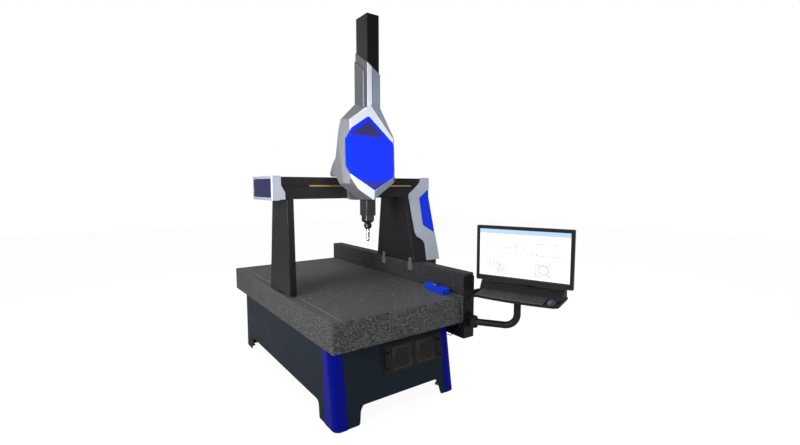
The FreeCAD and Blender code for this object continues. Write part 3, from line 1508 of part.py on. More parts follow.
def stick_gimbal():
    """Ring of the joystick's gimbal, turning about the box's long axis on two stub pins."""
    ring = rod(Vector(0, stick_y, stick_z - 4), Vector(0, 0, 1), 14, 8)
    ring = ring.cut(rod(Vector(0, stick_y, stick_z - 5), Vector(0, 0, 1), 10, 10))
    pins = [rod(Vector(0, stick_y + 13, stick_z), Vector(0, 1, 0), 2, 3.7),
            rod(Vector(0, stick_y - 13, stick_z), Vector(0, -1, 0), 2, 3.7)]
    return on_table(fuse([ring] + pins))


def joystick():
    """Stick with a round knob; its cross pin runs in the gimbal ring."""
    shaft = rod(Vector(0, stick_y, stick_z - 4), Vector(0, 0, 1), 4, 26)
    knob = Part.makeSphere(9, Vector(0, stick_y, stick_z + 26))
    hub = Part.makeSphere(6, Vector(0, stick_y, stick_z))
    pin = rod(Vector(-9.7, stick_y, stick_z), Vector(1, 0, 0), 1.8, 19.4)
    return on_table(fuse([shaft, knob, hub, pin]))


def push_button(y, radius, rise):
    stem = rod(Vector(0, y, handset_height - 9), Vector(0, 0, 1), 7, 6 + rise)
    cap = rod(Vector(0, y, handset_height - 3 + rise - 3), Vector(0, 0, 1), radius, 3) if radius > 7 else stem
    return on_table(stem if radius <= 7 else fuse([stem, cap]))


def speed_button():
    return push_button(32.0, 7, 3.5)


def stop_button():
    return push_button(52.0, 7, 5.0)


cable_route = [(443.3, -933.2, 22), (440.6, -953, 20.8), (441, -976, 15.5), (446, -1000, 10), (454, -1023.5, 4.2),
               (460, -1038, -18), (465, -1042, -48), (471, -1041, -82), (478, -1039, -118),
               (483, -1036, -154), (487, -1030, -190), (491, -1015, -222), (497, -988, -246), (505, -960, -268),
               (512, -932, -292), (517, -905, -315), (527, -880, -332), (543, -858, -341), (555, -832, -346),
               (555, -806, -347.5), (541, -786, -348), (512, -778, -348)]


def cable_path():
    """Straight runs joined by arcs; prints the smallest radius."""
    points = [Vector(*p) for p in cable_route]
    edges = []
    last = points[0]
    radii = []
    for i in range(1, len(points) - 1):
        before = points[i - 1] - points[i]
        after = points[i + 1] - points[i]
        run = min(before.Length, after.Length)
        turn = math.pi - before.getAngle(after)
        radius = 0.45 * run / math.tan(turn / 2)
        radii.append(round(radius))
        before.normalize()
        after.normalize()
        half = before.getAngle(after) / 2
        middle = before + after
        middle.normalize()
        centre = points[i] + middle * (radius / math.sin(half))
        start = points[i] + before * (0.45 * run)
        end = points[i] + after * (0.45 * run)
        edges.append(Part.makeLine(last, start))
        edges.append(Part.Arc(start, centre - middle * radius, end).toShape())
        last = end
    edges.append(Part.makeLine(last, points[-1]))
    print("cable radii", radii)
    return Part.Wire(edges)


def handset_cable():
    path = cable_path()
    tube = pipe(path, cable_radius)
    expected = math.pi * cable_radius ** 2 * path.Length
    print("cable length", round(path.Length), "volume ratio", round(tube.Volume / expected, 4))
    return tube


for make in (granite_table, table_inserts, guide_beam, y_scale, y_drive_belt, travel_buffers, cable_trunking,
             end_bracket, stand_frame, side_panels, front_panel, rear_panel, front_trims, levelling_feet,
             support_pads, controller_case, controller_bezel,
             left_leg, right_leg, right_leg_cover, right_leg_window, right_leg_skirt, bridge_bearings,
             bridge_beam, beam_end_cap, end_cap_window, x_scale, x_drive_belt, y_drive_unit,
             carriage_frame, carriage_bearings, front_cover, front_window, rear_cover, neck_cover, ram_column,
             carriage_drives, ram, z_drive_belt, probe_head, head_swivel, head_knuckle, probe, stylus,
             arm_bracket, arm_tube, operator_tray, monitor_mount, monitor_housing, monitor_screen, keyboard, mouse,
             handset_case, stick_gimbal, joystick, speed_button, stop_button, handset_cable):
    save(make.__name__, make())
save("left_controller_door", controller_door(True))
save("right_controller_door", controller_door(False))
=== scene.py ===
import math

import bpy
import numpy as np
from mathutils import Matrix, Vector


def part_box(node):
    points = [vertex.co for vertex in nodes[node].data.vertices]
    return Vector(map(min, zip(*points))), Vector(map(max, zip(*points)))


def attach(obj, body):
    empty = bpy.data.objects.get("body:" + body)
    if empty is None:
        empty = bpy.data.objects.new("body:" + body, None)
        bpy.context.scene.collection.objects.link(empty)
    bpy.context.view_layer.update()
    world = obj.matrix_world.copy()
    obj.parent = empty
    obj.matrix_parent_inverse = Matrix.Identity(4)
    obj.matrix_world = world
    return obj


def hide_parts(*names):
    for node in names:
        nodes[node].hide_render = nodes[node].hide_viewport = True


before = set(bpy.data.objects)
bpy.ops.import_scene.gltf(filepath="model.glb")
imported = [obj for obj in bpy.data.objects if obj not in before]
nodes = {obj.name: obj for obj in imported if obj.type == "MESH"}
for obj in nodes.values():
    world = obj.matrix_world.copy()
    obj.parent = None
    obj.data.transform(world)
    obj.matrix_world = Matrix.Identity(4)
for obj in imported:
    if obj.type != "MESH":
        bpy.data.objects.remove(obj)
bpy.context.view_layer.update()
print("frame loaded:", len(nodes), "nodes")


# ---- colours, as linear values
def linear(red, green, blue):
    # a screen colour of 0 to 255 turned into the linear value that a shader takes
    parts = [v / 255 for v in (red, green, blue)]
    return tuple(v / 12.92 if v <= 0.04045 else ((v + 0.055) / 1.055) ** 2.4 for v in parts) + (1.0,)


paint = {
    "granite": linear(58, 58, 59),
    "graniteLight": linear(190, 190, 190),
    "graniteDark": linear(22, 22, 23),
    "guide": linear(40, 40, 42),
    "guideLight": linear(112, 112, 112),
    "guideDark": linear(16, 16, 17),
    "blackBeam": linear(27, 27, 29),
    "column": linear(17, 17, 18),
    "ram": linear(38, 38, 41),
    "housing": linear(22, 22, 23),
    "silver": linear(216, 221, 232),
    # painted shade: a darker copy of the silver for facets turned from the light
    "silverInPaintedShade": linear(126, 135, 153),
    # painted shade: a darker copy of the silver for the leg cover and the end cap
    "legSilverPaintedShade": linear(176, 182, 196),
    "seamGroove": linear(52, 56, 64),
    # the neck's grey side paint, deepened with painted shade
    "neckSideGreyAndShade": linear(36, 38, 47),
    "grey": linear(100, 101, 106),
    "windowBlue": linear(4, 34, 200),
    # painted shade for the carriage window's dark roof and foot
    "windowPaintedShade": linear(44, 42, 92),
    "navy": linear(20, 22, 62),
    # painted glow for the navy end window, which is no lamp
    "navyPaintedGlow": linear(20, 20, 74),
    "legWindow": linear(10, 44, 190),
    # painted glow for the blue leg window, which is no lamp
    "legPaintedGlow": linear(8, 40, 200),
    "standPanel": linear(32, 42, 54),
    "trim": linear(0, 16, 150),
    "steel": linear(150, 150, 152),
    "aluminium": linear(165, 167, 170),
    "probeSteel": linear(188, 190, 194),
    "anodised": linear(26, 26, 28),
    "gold": linear(190, 160, 96),
    "rubber": linear(20, 20, 21),
    "cable": linear(18, 18, 20),
    "plastic": linear(36, 36, 38),
    "gloss": linear(16, 16, 18),
    "keys": linear(62, 62, 66),
    "mouse": linear(58, 66, 84),
    "handset": linear(2, 58, 205),
    "stopRed": linear(190, 24, 20),
    "button": linear(170, 172, 176),
    "scribe": linear(190, 190, 190),
}


# ---- small helpers for node trees
def emptyTree(block):
    block.use_nodes = True
    block.node_tree.nodes.clear()
    return block.node_tree


def addNode(tree, kind, **settings):
    node = tree.nodes.new(kind)
    for key, value in settings.items():
        setattr(node, key, value)
    return node


def setInputs(node, values):
    for key, value in values.items():
        node.inputs[key].default_value = value


def feed(tree, socket, value):
    # another node's output is linked to the socket, and a plain value is typed into it
    if isinstance(value, bpy.types.NodeSocket):
        tree.links.new(value, socket)
    else:
        socket.default_value = value


def mathNode(tree, operation, *values):
    node = addNode(tree, "ShaderNodeMath", operation=operation)
    for socket, value in zip(node.inputs, values):
        feed(tree, socket, value)
    return node.outputs[0]


def smoothStep(tree, value, low, high):
    # 0 at low and 1 at high with a soft rise between them, or a fall where low is the higher one
    node = addNode(tree, "ShaderNodeMapRange", interpolation_type="SMOOTHSTEP")
    setInputs(node, {"From Min": low, "From Max": high})
    feed(tree, node.inputs["Value"], value)
    return node.outputs["Result"]


def mixColour(tree, factor, first, second):
    # the mix node has sockets of every data type: 0 is the factor, 6 and 7 are the two colours
    node = addNode(tree, "ShaderNodeMix", data_type="RGBA")
    for index, value in ((0, factor), (6, first), (7, second)):
        feed(tree, node.inputs[index], value)
    return node.outputs[2]


def shiftValue(tree, colour, value):
    node = addNode(tree, "ShaderNodeHueSaturation")
    feed(tree, node.inputs["Value"], value)
    feed(tree, node.inputs["Color"], colour)
    return node.outputs["Color"]


def objectPoint(tree):
    return addNode(tree, "ShaderNodeTexCoord").outputs["Object"]


def splitVector(tree, vector):
    node = addNode(tree, "ShaderNodeSeparateXYZ")
    tree.links.new(vector, node.inputs[0])
    return node.outputs


noiseRoughness = 0.55


def noiseOf(tree, point, scale, detail):
    node = addNode(tree, "ShaderNodeTexNoise")
    setInputs(node, {"Detail": detail, "Roughness": noiseRoughness})
    feed(tree, node.inputs["Scale"], scale)
    tree.links.new(point, node.inputs["Vector"])
    return node.outputs["Fac"]


# ---- shader node groups: colours, masks and heights only
def newGroup(name, inputs, outputs):
    group = bpy.data.node_groups.new(name, "ShaderNodeTree")
    for label, kind, value in inputs:
        socket = group.interface.new_socket(name=label, in_out="INPUT", socket_type=kind)
        socket.default_value = value
    for label, kind in outputs:
        group.interface.new_socket(name=label, in_out="OUTPUT", socket_type=kind)
    start = group.nodes.new("NodeGroupInput")
    end = group.nodes.new("NodeGroupOutput")
    return group, start.outputs, end.inputs


stoneLook = {
    "scale": 260.0, "wideShare": 0.42, "cloudScale": 6.0, "detail": 2.0,  # grain sizes, and slow clouds
    "flecks": (0.55, 0.67), "fleckShare": 0.9,  # noise levels where light flecks begin and are full
    "mica": (0.50, 0.36), "micaShare": 0.7,  # the same for the dark ones, downwards
    "cloudGain": 0.35, "cloudBase": 0.83, "roughGain": 0.25, "roughBase": 0.42,
    "specular": 0.35, "bump": 0.25, "bumpDepth": 0.0006,
}


def makeSpeckle(look):
    # two sizes of grain: light feldspar flecks and dark mica flecks over the ground colour
    group, given, wanted = newGroup(
        "stoneSpeckle",
        [("Ground", "NodeSocketColor", paint["granite"]), ("Light", "NodeSocketColor", paint["graniteLight"]),
         ("Dark", "NodeSocketColor", paint["graniteDark"]), ("Scale", "NodeSocketFloat", look["scale"])],
        [("Color", "NodeSocketColor"), ("Roughness", "NodeSocketFloat"), ("Height", "NodeSocketFloat")])
    point = objectPoint(group)
    small = noiseOf(group, point, given["Scale"], look["detail"])
    wideScale = mathNode(group, "MULTIPLY", given["Scale"], look["wideShare"])
    wide = noiseOf(group, point, wideScale, look["detail"])
    cloud = noiseOf(group, point, look["cloudScale"], look["detail"])
    light = mathNode(group, "MULTIPLY", smoothStep(group, small, *look["flecks"]), look["fleckShare"])
    dark = mathNode(group, "MULTIPLY", smoothStep(group, wide, *look["mica"]), look["micaShare"])
    colour = mixColour(group, light, given["Ground"], given["Light"])
    colour = mixColour(group, dark, colour, given["Dark"])
    shade = mathNode(group, "MULTIPLY_ADD", cloud, look["cloudGain"], look["cloudBase"])
    rough = mathNode(group, "MULTIPLY_ADD", small, look["roughGain"], look["roughBase"])
    group.links.new(shiftValue(group, colour, shade), wanted["Color"])
    group.links.new(rough, wanted["Roughness"])
    group.links.new(small, wanted["Height"])
    return group


coatLook = {
    "scale": 600.0, "roughness": 0.4, "spread": 0.1, "fineDetail": 2.0,
    "broadScale": 5.0, "broadDetail": 3.0,  # the slow change of gloss over a panel
    "coatRoughness": 0.12, "bumpDepth": 0.0003,
}


def makeCoatGrain(look):
    # orange-peel of a sprayed or powder-coated skin, and a slight change of gloss over a panel
    group, given, wanted = newGroup(
        "coatGrain",
        [("Scale", "NodeSocketFloat", look["scale"]), ("Roughness", "NodeSocketFloat", look["roughness"]),
         ("Spread", "NodeSocketFloat", look["spread"])],
        [("Roughness", "NodeSocketFloat"), ("Height", "NodeSocketFloat")])
    point = objectPoint(group)
    fine = noiseOf(group, point, given["Scale"], look["fineDetail"])
    broad = noiseOf(group, point, look["broadScale"], look["broadDetail"])
    swing = mathNode(group, "MULTIPLY", mathNode(group, "SUBTRACT", broad, 0.5), given["Spread"])
    group.links.new(mathNode(group, "ADD", given["Roughness"], swing), wanted["Roughness"])
    group.links.new(fine, wanted["Height"])
    return group


flakeLook = {"scale": 1400.0, "amount": 0.12}


def makeFlake(look):
    # metal flakes in silver paint: single cells a little lighter or darker than the base
    group, given, wanted = newGroup(
        "metalFlake",
        [("Base", "NodeSocketColor", paint["silver"]), ("Amount", "NodeSocketFloat", look["amount"])],
        [("Color", "NodeSocketColor")])
    cells = addNode(group, "ShaderNodeTexVoronoi")
    cells.inputs["Scale"].default_value = look["scale"]
    group.links.new(objectPoint(group), cells.inputs["Vector"])
    grey = addNode(group, "ShaderNodeRGBToBW")
    group.links.new(cells.outputs["Color"], grey.inputs["Color"])
    swing = mathNode(group, "MULTIPLY", mathNode(group, "SUBTRACT", grey.outputs[0], 0.5), given["Amount"])
    value = mathNode(group, "ADD", swing, 1.0)
    group.links.new(shiftValue(group, given["Base"], value), wanted["Color"])
    return group


speckleGroup = makeSpeckle(stoneLook)
coatGroup = makeCoatGrain(coatLook)
flakeGroup = makeFlake(flakeLook)
print("shader groups made")


# ---- materials
def blankMaterial(name):
    material = bpy.data.materials.new(name)
    tree = emptyTree(material)
    end = addNode(tree, "ShaderNodeOutputMaterial")
    shader = addNode(tree, "ShaderNodeBsdfPrincipled")
    tree.links.new(shader.outputs[0], end.inputs["Surface"])
    return material, tree, shader


def placeGroup(tree, group, **values):
    node = addNode(tree, "ShaderNodeGroup", node_tree=group)
    setInputs(node, values)
    return node.outputs


def bumpFrom(tree, height, shader, strength, distance):
    bump = addNode(tree, "ShaderNodeBump")
    setInputs(bump, {"Strength": strength, "Distance": distance})
    tree.links.new(height, bump.inputs["Height"])
    tree.links.new(bump.outputs[0], shader.inputs["Normal"])


def grainOn(tree, shader, scale, roughness, spread):
    # the coat's uneven gloss goes to the shader, and its height is returned
    grain = placeGroup(tree, coatGroup, Scale=scale, Roughness=roughness, Spread=spread)
    tree.links.new(grain["Roughness"], shader.inputs["Roughness"])
    return grain["Height"]


def stoneMaterial(name, ground, light, dark, scale):
    material, tree, shader = blankMaterial(name)
    grain = placeGroup(tree, speckleGroup, Ground=ground, Light=light, Dark=dark, Scale=scale)
    tree.links.new(grain["Color"], shader.inputs["Base Color"])
    tree.links.new(grain["Roughness"], shader.inputs["Roughness"])
    shader.inputs["Specular IOR Level"].default_value = stoneLook["specular"]
    bumpFrom(tree, grain["Height"], shader, stoneLook["bump"], stoneLook["bumpDepth"])
    return material


def coatedMaterial(name, colour, roughness, spread=0.1, scale=900.0, bump=0.05, metallic=0.0, flake=0.0,
                   coat=0.0, specular=0.5):
    material, tree, shader = blankMaterial(name)
    height = grainOn(tree, shader, scale, roughness, spread)
    setInputs(shader, {"Base Color": colour, "Metallic": metallic, "Specular IOR Level": specular,
                       "Coat Weight": coat, "Coat Roughness": coatLook["coatRoughness"]})
    if flake:
        flakes = placeGroup(tree, flakeGroup, Base=colour, Amount=flake)
        tree.links.new(flakes["Color"], shader.inputs["Base Color"])
    bumpFrom(tree, height, shader, bump, coatLook["bumpDepth"])
    return material


finish = {
    "granite": stoneMaterial("darkGranite", paint["granite"], paint["graniteLight"], paint["graniteDark"],
                             stoneLook["scale"]),
    "guideStone": stoneMaterial("guideGranite", paint["guide"], paint["guideLight"], paint["guideDark"],
                                300.0),
    "beam": coatedMaterial("satinBlackBeam", paint["blackBeam"], 0.42, spread=0.12, scale=500.0, bump=0.10,
                           specular=0.22),
    "column": coatedMaterial("columnBlack", paint["column"], 0.42, scale=500.0, bump=0.08, specular=0.12),
    "ram": coatedMaterial("charcoalCeramic", paint["ram"], 0.38, scale=500.0, bump=0.08, specular=0.25),
    "housing": coatedMaterial("blackPowderCoat", paint["housing"], 0.5, scale=700.0, bump=0.3, specular=0.3),
    # the covers' silver darkened as painted shade
    "coverSilver": coatedMaterial("legSilverPaintedShade", paint["legSilverPaintedShade"], 0.34, spread=0.08, metallic=0.3,
                                  flake=0.14, coat=0.2),
    "grey": coatedMaterial("metallicGrey", paint["grey"], 0.42, metallic=0.25, flake=0.14, coat=0.1,
                           specular=0.35),
    "stand": coatedMaterial("standPaint", paint["standPanel"], 0.5, scale=800.0, bump=0.25, specular=0.1),
    "trim": coatedMaterial("ultramarineTrim", paint["trim"], 0.36, spread=0.08, bump=0.08, specular=0.08),
    "steel": coatedMaterial("brushedSteel", paint["steel"], 0.34, spread=0.15, bump=0.1, metallic=1.0),
    "aluminium": coatedMaterial("milledAluminium", paint["aluminium"], 0.38, spread=0.15, bump=0.1,
                                metallic=0.9),
    "gold": coatedMaterial("goldScaleTape", paint["gold"], 0.36, metallic=0.8),
    "darkMetal": coatedMaterial("anodisedBlack", paint["anodised"], 0.3, metallic=0.2, coat=0.3),
    "probeSteel": coatedMaterial("polishedProbe", paint["probeSteel"], 0.22, bump=0.04, metallic=1.0),
    "rubber": coatedMaterial("blackRubber", paint["rubber"], 0.7, scale=600.0, bump=0.3, specular=0.3),
    "cable": coatedMaterial("cableJacket", paint["cable"], 0.45, spread=0.08, scale=700.0, bump=0.15),
    "plastic": coatedMaterial("blackPlastic", paint["plastic"], 0.42, bump=0.2, specular=0.45),
    "gloss": coatedMaterial("glossBlackFrame", paint["gloss"], 0.2, spread=0.05, scale=300.0, bump=0.03,
                            coat=0.4),
    "keys": coatedMaterial("keyPlastic", paint["keys"], 0.45, spread=0.08, bump=0.15),
    "mouse": coatedMaterial("mouseShell", paint["mouse"], 0.35, spread=0.05, scale=700.0),
    "handset": coatedMaterial("handsetBlue", paint["handset"], 0.38, spread=0.08, scale=700.0, bump=0.1,
                              specular=0.25),
    "red": coatedMaterial("stopRed", paint["stopRed"], 0.25, spread=0.05, scale=500.0, bump=0.03),
    "button": coatedMaterial("buttonGrey", paint["button"], 0.3, spread=0.05, scale=500.0, bump=0.03),
    "chalk": coatedMaterial("paleScribe", paint["scribe"], 0.6, scale=600.0, bump=0.15),
}

litLook = {"grain": 300.0, "roughness": 0.4, "spread": 0.05, "surface": 0.2}


def litMaterial(name, colour, strength):
    # a screen's own light, with a soft plastic surface over it
    material, tree, shader = blankMaterial(name)
    grainOn(tree, shader, litLook["grain"], litLook["roughness"], litLook["spread"])
    setInputs(shader, {"Base Color": tuple(v * litLook["surface"] for v in colour[:3]) + (1.0,),
                       "Emission Color": colour, "Emission Strength": strength})
    return material


finish["screen"] = litMaterial("screenWhite", (1.0, 1.0, 1.0, 1.0), 0.95)
finish["inkViolet"] = litMaterial("inkViolet", linear(96, 88, 176), 0.8)
finish["headBlue"] = litMaterial("headBlue", linear(176, 208, 240), 0.95)
finish["faintLine"] = litMaterial("faintLine", linear(196, 206, 232), 0.9)
finish["barDark"] = litMaterial("barDark", linear(30, 40, 58), 0.6)

# the carriage window: painted shade under the apex and at the foot, and bright blue between them and round the
# rim
windowLook = {
    "apex": (0.058, 1.303), "leftSlope": 0.658, "rightSlope": 0.935, "rim": 0.030,  # the shade's roof
    "shadeFloor": 1.150, "footTop": 0.830, "footShare": 0.7, "soft": 0.012,
    "waveScale": 9.0, "waveDetail": 1.0, "wave": 0.05,
    # the window's glow is painted light, with a dimmer glow in its painted shade
    "glow": linear(0, 46, 240), "glowInPaintedShade": linear(20, 18, 44), "strength": 0.34,
    "grain": 200.0, "roughness": 0.16, "spread": 0.04, "specular": 0.12,
}


def windowMaterial(look):
    material, tree, shader = blankMaterial("blueWindow")
    point = objectPoint(tree)
    place = splitVector(tree, point)
    across, up, soft = place["X"], place["Z"], look["soft"]

    def below(slope):
        # how far a point lies under a line that falls away from the apex, less the rim
        run = mathNode(tree, "SUBTRACT", across, look["apex"][0])
        line = mathNode(tree, "MULTIPLY_ADD", run, slope, look["apex"][1] - look["rim"])
        return smoothStep(tree, mathNode(tree, "SUBTRACT", line, up), 0.0, soft)

    roof = mathNode(tree, "MULTIPLY", below(look["leftSlope"]), below(-look["rightSlope"]))
    wave = noiseOf(tree, point, look["waveScale"], look["waveDetail"])
    lift = mathNode(tree, "MULTIPLY", mathNode(tree, "SUBTRACT", wave, 0.5), look["wave"])
    floor = look["shadeFloor"]
    high = smoothStep(tree, mathNode(tree, "ADD", up, lift), floor - soft, floor + soft)
    low = smoothStep(tree, up, look["footTop"] + soft, look["footTop"] - soft)
    # the painted shade: the roof under the apex above the shade's floor, and a share of it at the foot
    shade = mathNode(tree, "MAXIMUM", mathNode(tree, "MULTIPLY", roof, high),
                     mathNode(tree, "MULTIPLY", low, look["footShare"]))
    colour = mixColour(tree, shade, paint["windowBlue"], paint["windowPaintedShade"])
    # painted light: the window glows though it is no lamp
    glow = mixColour(tree, shade, look["glow"], look["glowInPaintedShade"])
    tree.links.new(colour, shader.inputs["Base Color"])
    tree.links.new(glow, shader.inputs["Emission Color"])
    grainOn(tree, shader, look["grain"], look["roughness"], look["spread"])
    setInputs(shader, {"Emission Strength": look["strength"], "Specular IOR Level": look["specular"]})
    return material


# the side windows shine with a painted glow, though they are no lamps
sideWindowLook = {"strength": 0.3, "grain": 200.0, "roughness": 0.15, "spread": 0.05, "specular": 0.25}


def sideWindowMaterial(name, colour, glow, look):
    material, tree, shader = blankMaterial(name)
    grainOn(tree, shader, look["grain"], look["roughness"], look["spread"])
    setInputs(shader, {"Base Color": colour, "Emission Color": glow, "Emission Strength": look["strength"],
                       "Specular IOR Level": look["specular"]})
    return material


paintedShadeSilverLook = {
    "seamSoft": 0.001, "startSoft": 0.002, "chinSoft": 0.003, "ridgeSoft": 0.0005,
    "groove": (0.0028, 0.0012),  # distances from the seam where the groove's dark begins and is full
    "front": (0.5, 0.7),  # how far a face must look forward to take the front's colour
    "grain": 900.0, "roughness": 0.34, "spread": 0.08, "metallic": 0.3, "coat": 0.15, "coatRoughness": 0.12,
}
neckSeam = {"low": (0.095, 1.36), "high": (0.095, 1.9), "from": 1.2}
coverSeam = {"low": (0.277, 1.137), "high": (0.098, 1.362), "from": 1.11,
             "ridge": (0.0765, 0.757), "ridgeSlope": 0.56}


def silverWithPaintedShade(name, sideGreyAndShade, seam, look):
    # silver with painted shade right of the seam, and a side colour where the surface looks sideways: grey
    # paint deepened with painted shade
    material, tree, shader = blankMaterial(name)
    facing = addNode(tree, "ShaderNodeTexCoord").outputs
    place = splitVector(tree, facing["Object"])
    across, up = place["X"], place["Z"]
    # signed distance across the seam: x minus the seam's x at this height
    (lowX, lowZ), (highX, highZ) = seam["low"], seam["high"]
    slope = (highX - lowX) / (highZ - lowZ)
    line = mathNode(tree, "MULTIPLY_ADD", mathNode(tree, "SUBTRACT", up, lowZ), slope, lowX)
    past = mathNode(tree, "SUBTRACT", across, line)
    above = smoothStep(tree, up, seam["from"] - look["startSoft"], seam["from"] + look["startSoft"])
    # painted shade right of the seam, above where the seam starts
    darker = mathNode(tree, "MULTIPLY", smoothStep(tree, past, -look["seamSoft"], look["seamSoft"]), above)
    if "ridge" in seam:
        # painted shade on the chin's right-hand facet: right of the ridge and under the window's lower right
        # edge
        ridgeX, ridgeZ = seam["ridge"]
        beyond = mathNode(tree, "SUBTRACT", across, ridgeX)
        edge = mathNode(tree, "MULTIPLY_ADD", beyond, seam["ridgeSlope"], ridgeZ)
        chin = smoothStep(tree, mathNode(tree, "SUBTRACT", edge, up), 0.0, look["chinSoft"])
        right = smoothStep(tree, beyond, -look["ridgeSoft"], look["ridgeSoft"])
        darker = mathNode(tree, "MAXIMUM", darker, mathNode(tree, "MULTIPLY", chin, right))
    groove = smoothStep(tree, mathNode(tree, "ABSOLUTE", past), *look["groove"])
    groove = mathNode(tree, "MULTIPLY", groove, above)
    # a lit and a shaded copy of the silver, the shaded one being painted shade
    bright, shade = (placeGroup(tree, flakeGroup, Base=paint[key], Amount=flakeLook["amount"])["Color"]
                     for key in ("silver", "silverInPaintedShade"))
    colour = mixColour(tree, groove, mixColour(tree, darker, bright, shade), paint["seamGroove"])
    # faces that look sideways take the side colour: grey paint deepened with painted shade
    if sideGreyAndShade:
        side = placeGroup(tree, flakeGroup, Base=sideGreyAndShade, Amount=flakeLook["amount"])["Color"]
        forward = mathNode(tree, "MULTIPLY", splitVector(tree, facing["Normal"])["Y"], -1.0)
        colour = mixColour(tree, smoothStep(tree, forward, *look["front"]), side, colour)
    tree.links.new(colour, shader.inputs["Base Color"])
    grainOn(tree, shader, look["grain"], look["roughness"], look["spread"])
    setInputs(shader, {"Metallic": look["metallic"], "Coat Weight": look["coat"],
                       "Coat Roughness": look["coatRoughness"]})
    return material


finish["window"] = windowMaterial(windowLook)
finish["legWindow"] = sideWindowMaterial("blueLegWindow", paint["legWindow"], paint["legPaintedGlow"], sideWindowLook)
finish["endWindow"] = sideWindowMaterial("navyEndWindow", paint["navy"], paint["navyPaintedGlow"], sideWindowLook)
finish["neck"] = silverWithPaintedShade("neckPaint", paint["neckSideGreyAndShade"], neckSeam, paintedShadeSilverLook)
finish["cover"] = silverWithPaintedShade("coverSilver", None, coverSeam, paintedShadeSilverLook)
print("materials made:", len(finish))

dressing = {
    "granite": ["granite_table"],
    "guideStone": ["guide_beam"],
    "beam": ["left_leg", "right_leg", "bridge_beam"],
    "column": ["ram_column"],
    "ram": ["ram"],
    "housing": ["end_bracket", "cable_trunking", "stand_frame", "controller_bezel", "right_leg_skirt",
                "y_drive_unit", "carriage_drives", "arm_bracket", "arm_tube", "operator_tray",
                "monitor_mount"],
    "coverSilver": ["right_leg_cover", "beam_end_cap"],
    "cover": ["front_cover"],
    "grey": ["rear_cover"],
    "neck": ["neck_cover"],
    "window": ["front_window"],
    "legWindow": ["right_leg_window"],
    "endWindow": ["end_cap_window"],
    "stand": ["side_panels", "front_panel", "rear_panel"],
    "trim": ["front_trims"],
    "steel": ["table_inserts", "levelling_feet", "controller_case"],
    "aluminium": ["carriage_frame", "carriage_bearings", "bridge_bearings"],
    "gold": ["y_scale", "x_scale"],
    "rubber": ["y_drive_belt", "x_drive_belt", "z_drive_belt", "travel_buffers", "support_pads"],
    "darkMetal": ["probe_head", "head_swivel", "head_knuckle"],
    "probeSteel": ["probe", "stylus"],
    "plastic": ["left_controller_door", "right_controller_door", "stick_gimbal", "joystick"],
    "gloss": ["monitor_housing"],
    "screen": ["monitor_screen"],
    "keys": ["keyboard"],
    "mouse": ["mouse"],
    "handset": ["handset_case"],
    "red": ["stop_button"],
    "button": ["speed_button"],
}
for look, members in dressing.items():
    for member in members:
        for materialSlot in nodes[member].material_slots:
            materialSlot.material = finish[look]
print("nodes dressed")


# ---- new pieces
def pieceFrom(name, points, faces, look, body):
    mesh = bpy.data.meshes.new(name)
    mesh.from_pydata(np.asarray(points, float).reshape(-1, 3).tolist(), [], np.asarray(faces).tolist())
    mesh.validate()
    mesh.update()
    piece = bpy.data.objects.new(name, mesh)
    bpy.context.scene.collection.objects.link(piece)
    mesh.materials.append(finish[look])
    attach(piece, body)


def gridFaces(rows, columns, closeColumns=False):
    # quads between neighbours of a grid of points, and from the last column to the first where that is closed
    steps = columns if closeColumns else columns - 1
    row, column = np.indices((rows - 1, steps)).reshape(2, -1)
    below, beside = row + 1, (column + 1) % columns
    return np.stack([row * columns + column, below * columns + column,
                     below * columns + beside, row * columns + beside], axis=1)


# the cable from the handset over the table's edge and into the stand's side
cableRun = {
    "points": [(443.3, -933.2, 22), (440.6, -953, 20.8), (441, -976, 15.5), (446, -1000, 10),
               (454, -1023.5, 4.2), (460, -1038, -18), (465, -1042, -48), (471, -1041, -82),
               (478, -1039, -118), (483, -1036, -154), (487, -1030, -190), (491, -1015, -222),
               (497, -988, -246), (505, -960, -268), (512, -932, -292), (517, -905, -315),
               (527, -880, -332), (543, -858, -341), (555, -832, -346), (555, -806, -347.5),
               (541, -786, -348), (512, -778, -348)],  # millimetres
    "radius": 0.003, "length": 0.644,  # metres
}


def makeCable(run):
    # a round section carried along a curve of the third order that is drawn towards the points in turn
    data = bpy.data.curves.new("handsetCable", "CURVE")
    data.dimensions = "3D"
    data.bevel_depth = run["radius"]
    data.bevel_resolution = 4
    data.resolution_u = 10
    route = [tuple(v / 1000 for v in point) for point in run["points"]]
    spline = data.splines.new("NURBS")
    spline.points.add(len(route) - 1)
    for target, point in zip(spline.points, route):
        target.co = point + (1.0,)
    spline.order_u = 3
    spline.use_endpoint_u = True
    data.materials.append(finish["cable"])
    piece = bpy.data.objects.new("handsetCable", data)
    bpy.context.scene.collection.objects.link(piece)
    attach(piece, "base")
    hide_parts("handset_cable")


makeCable(cableRun)
print("cable laid")

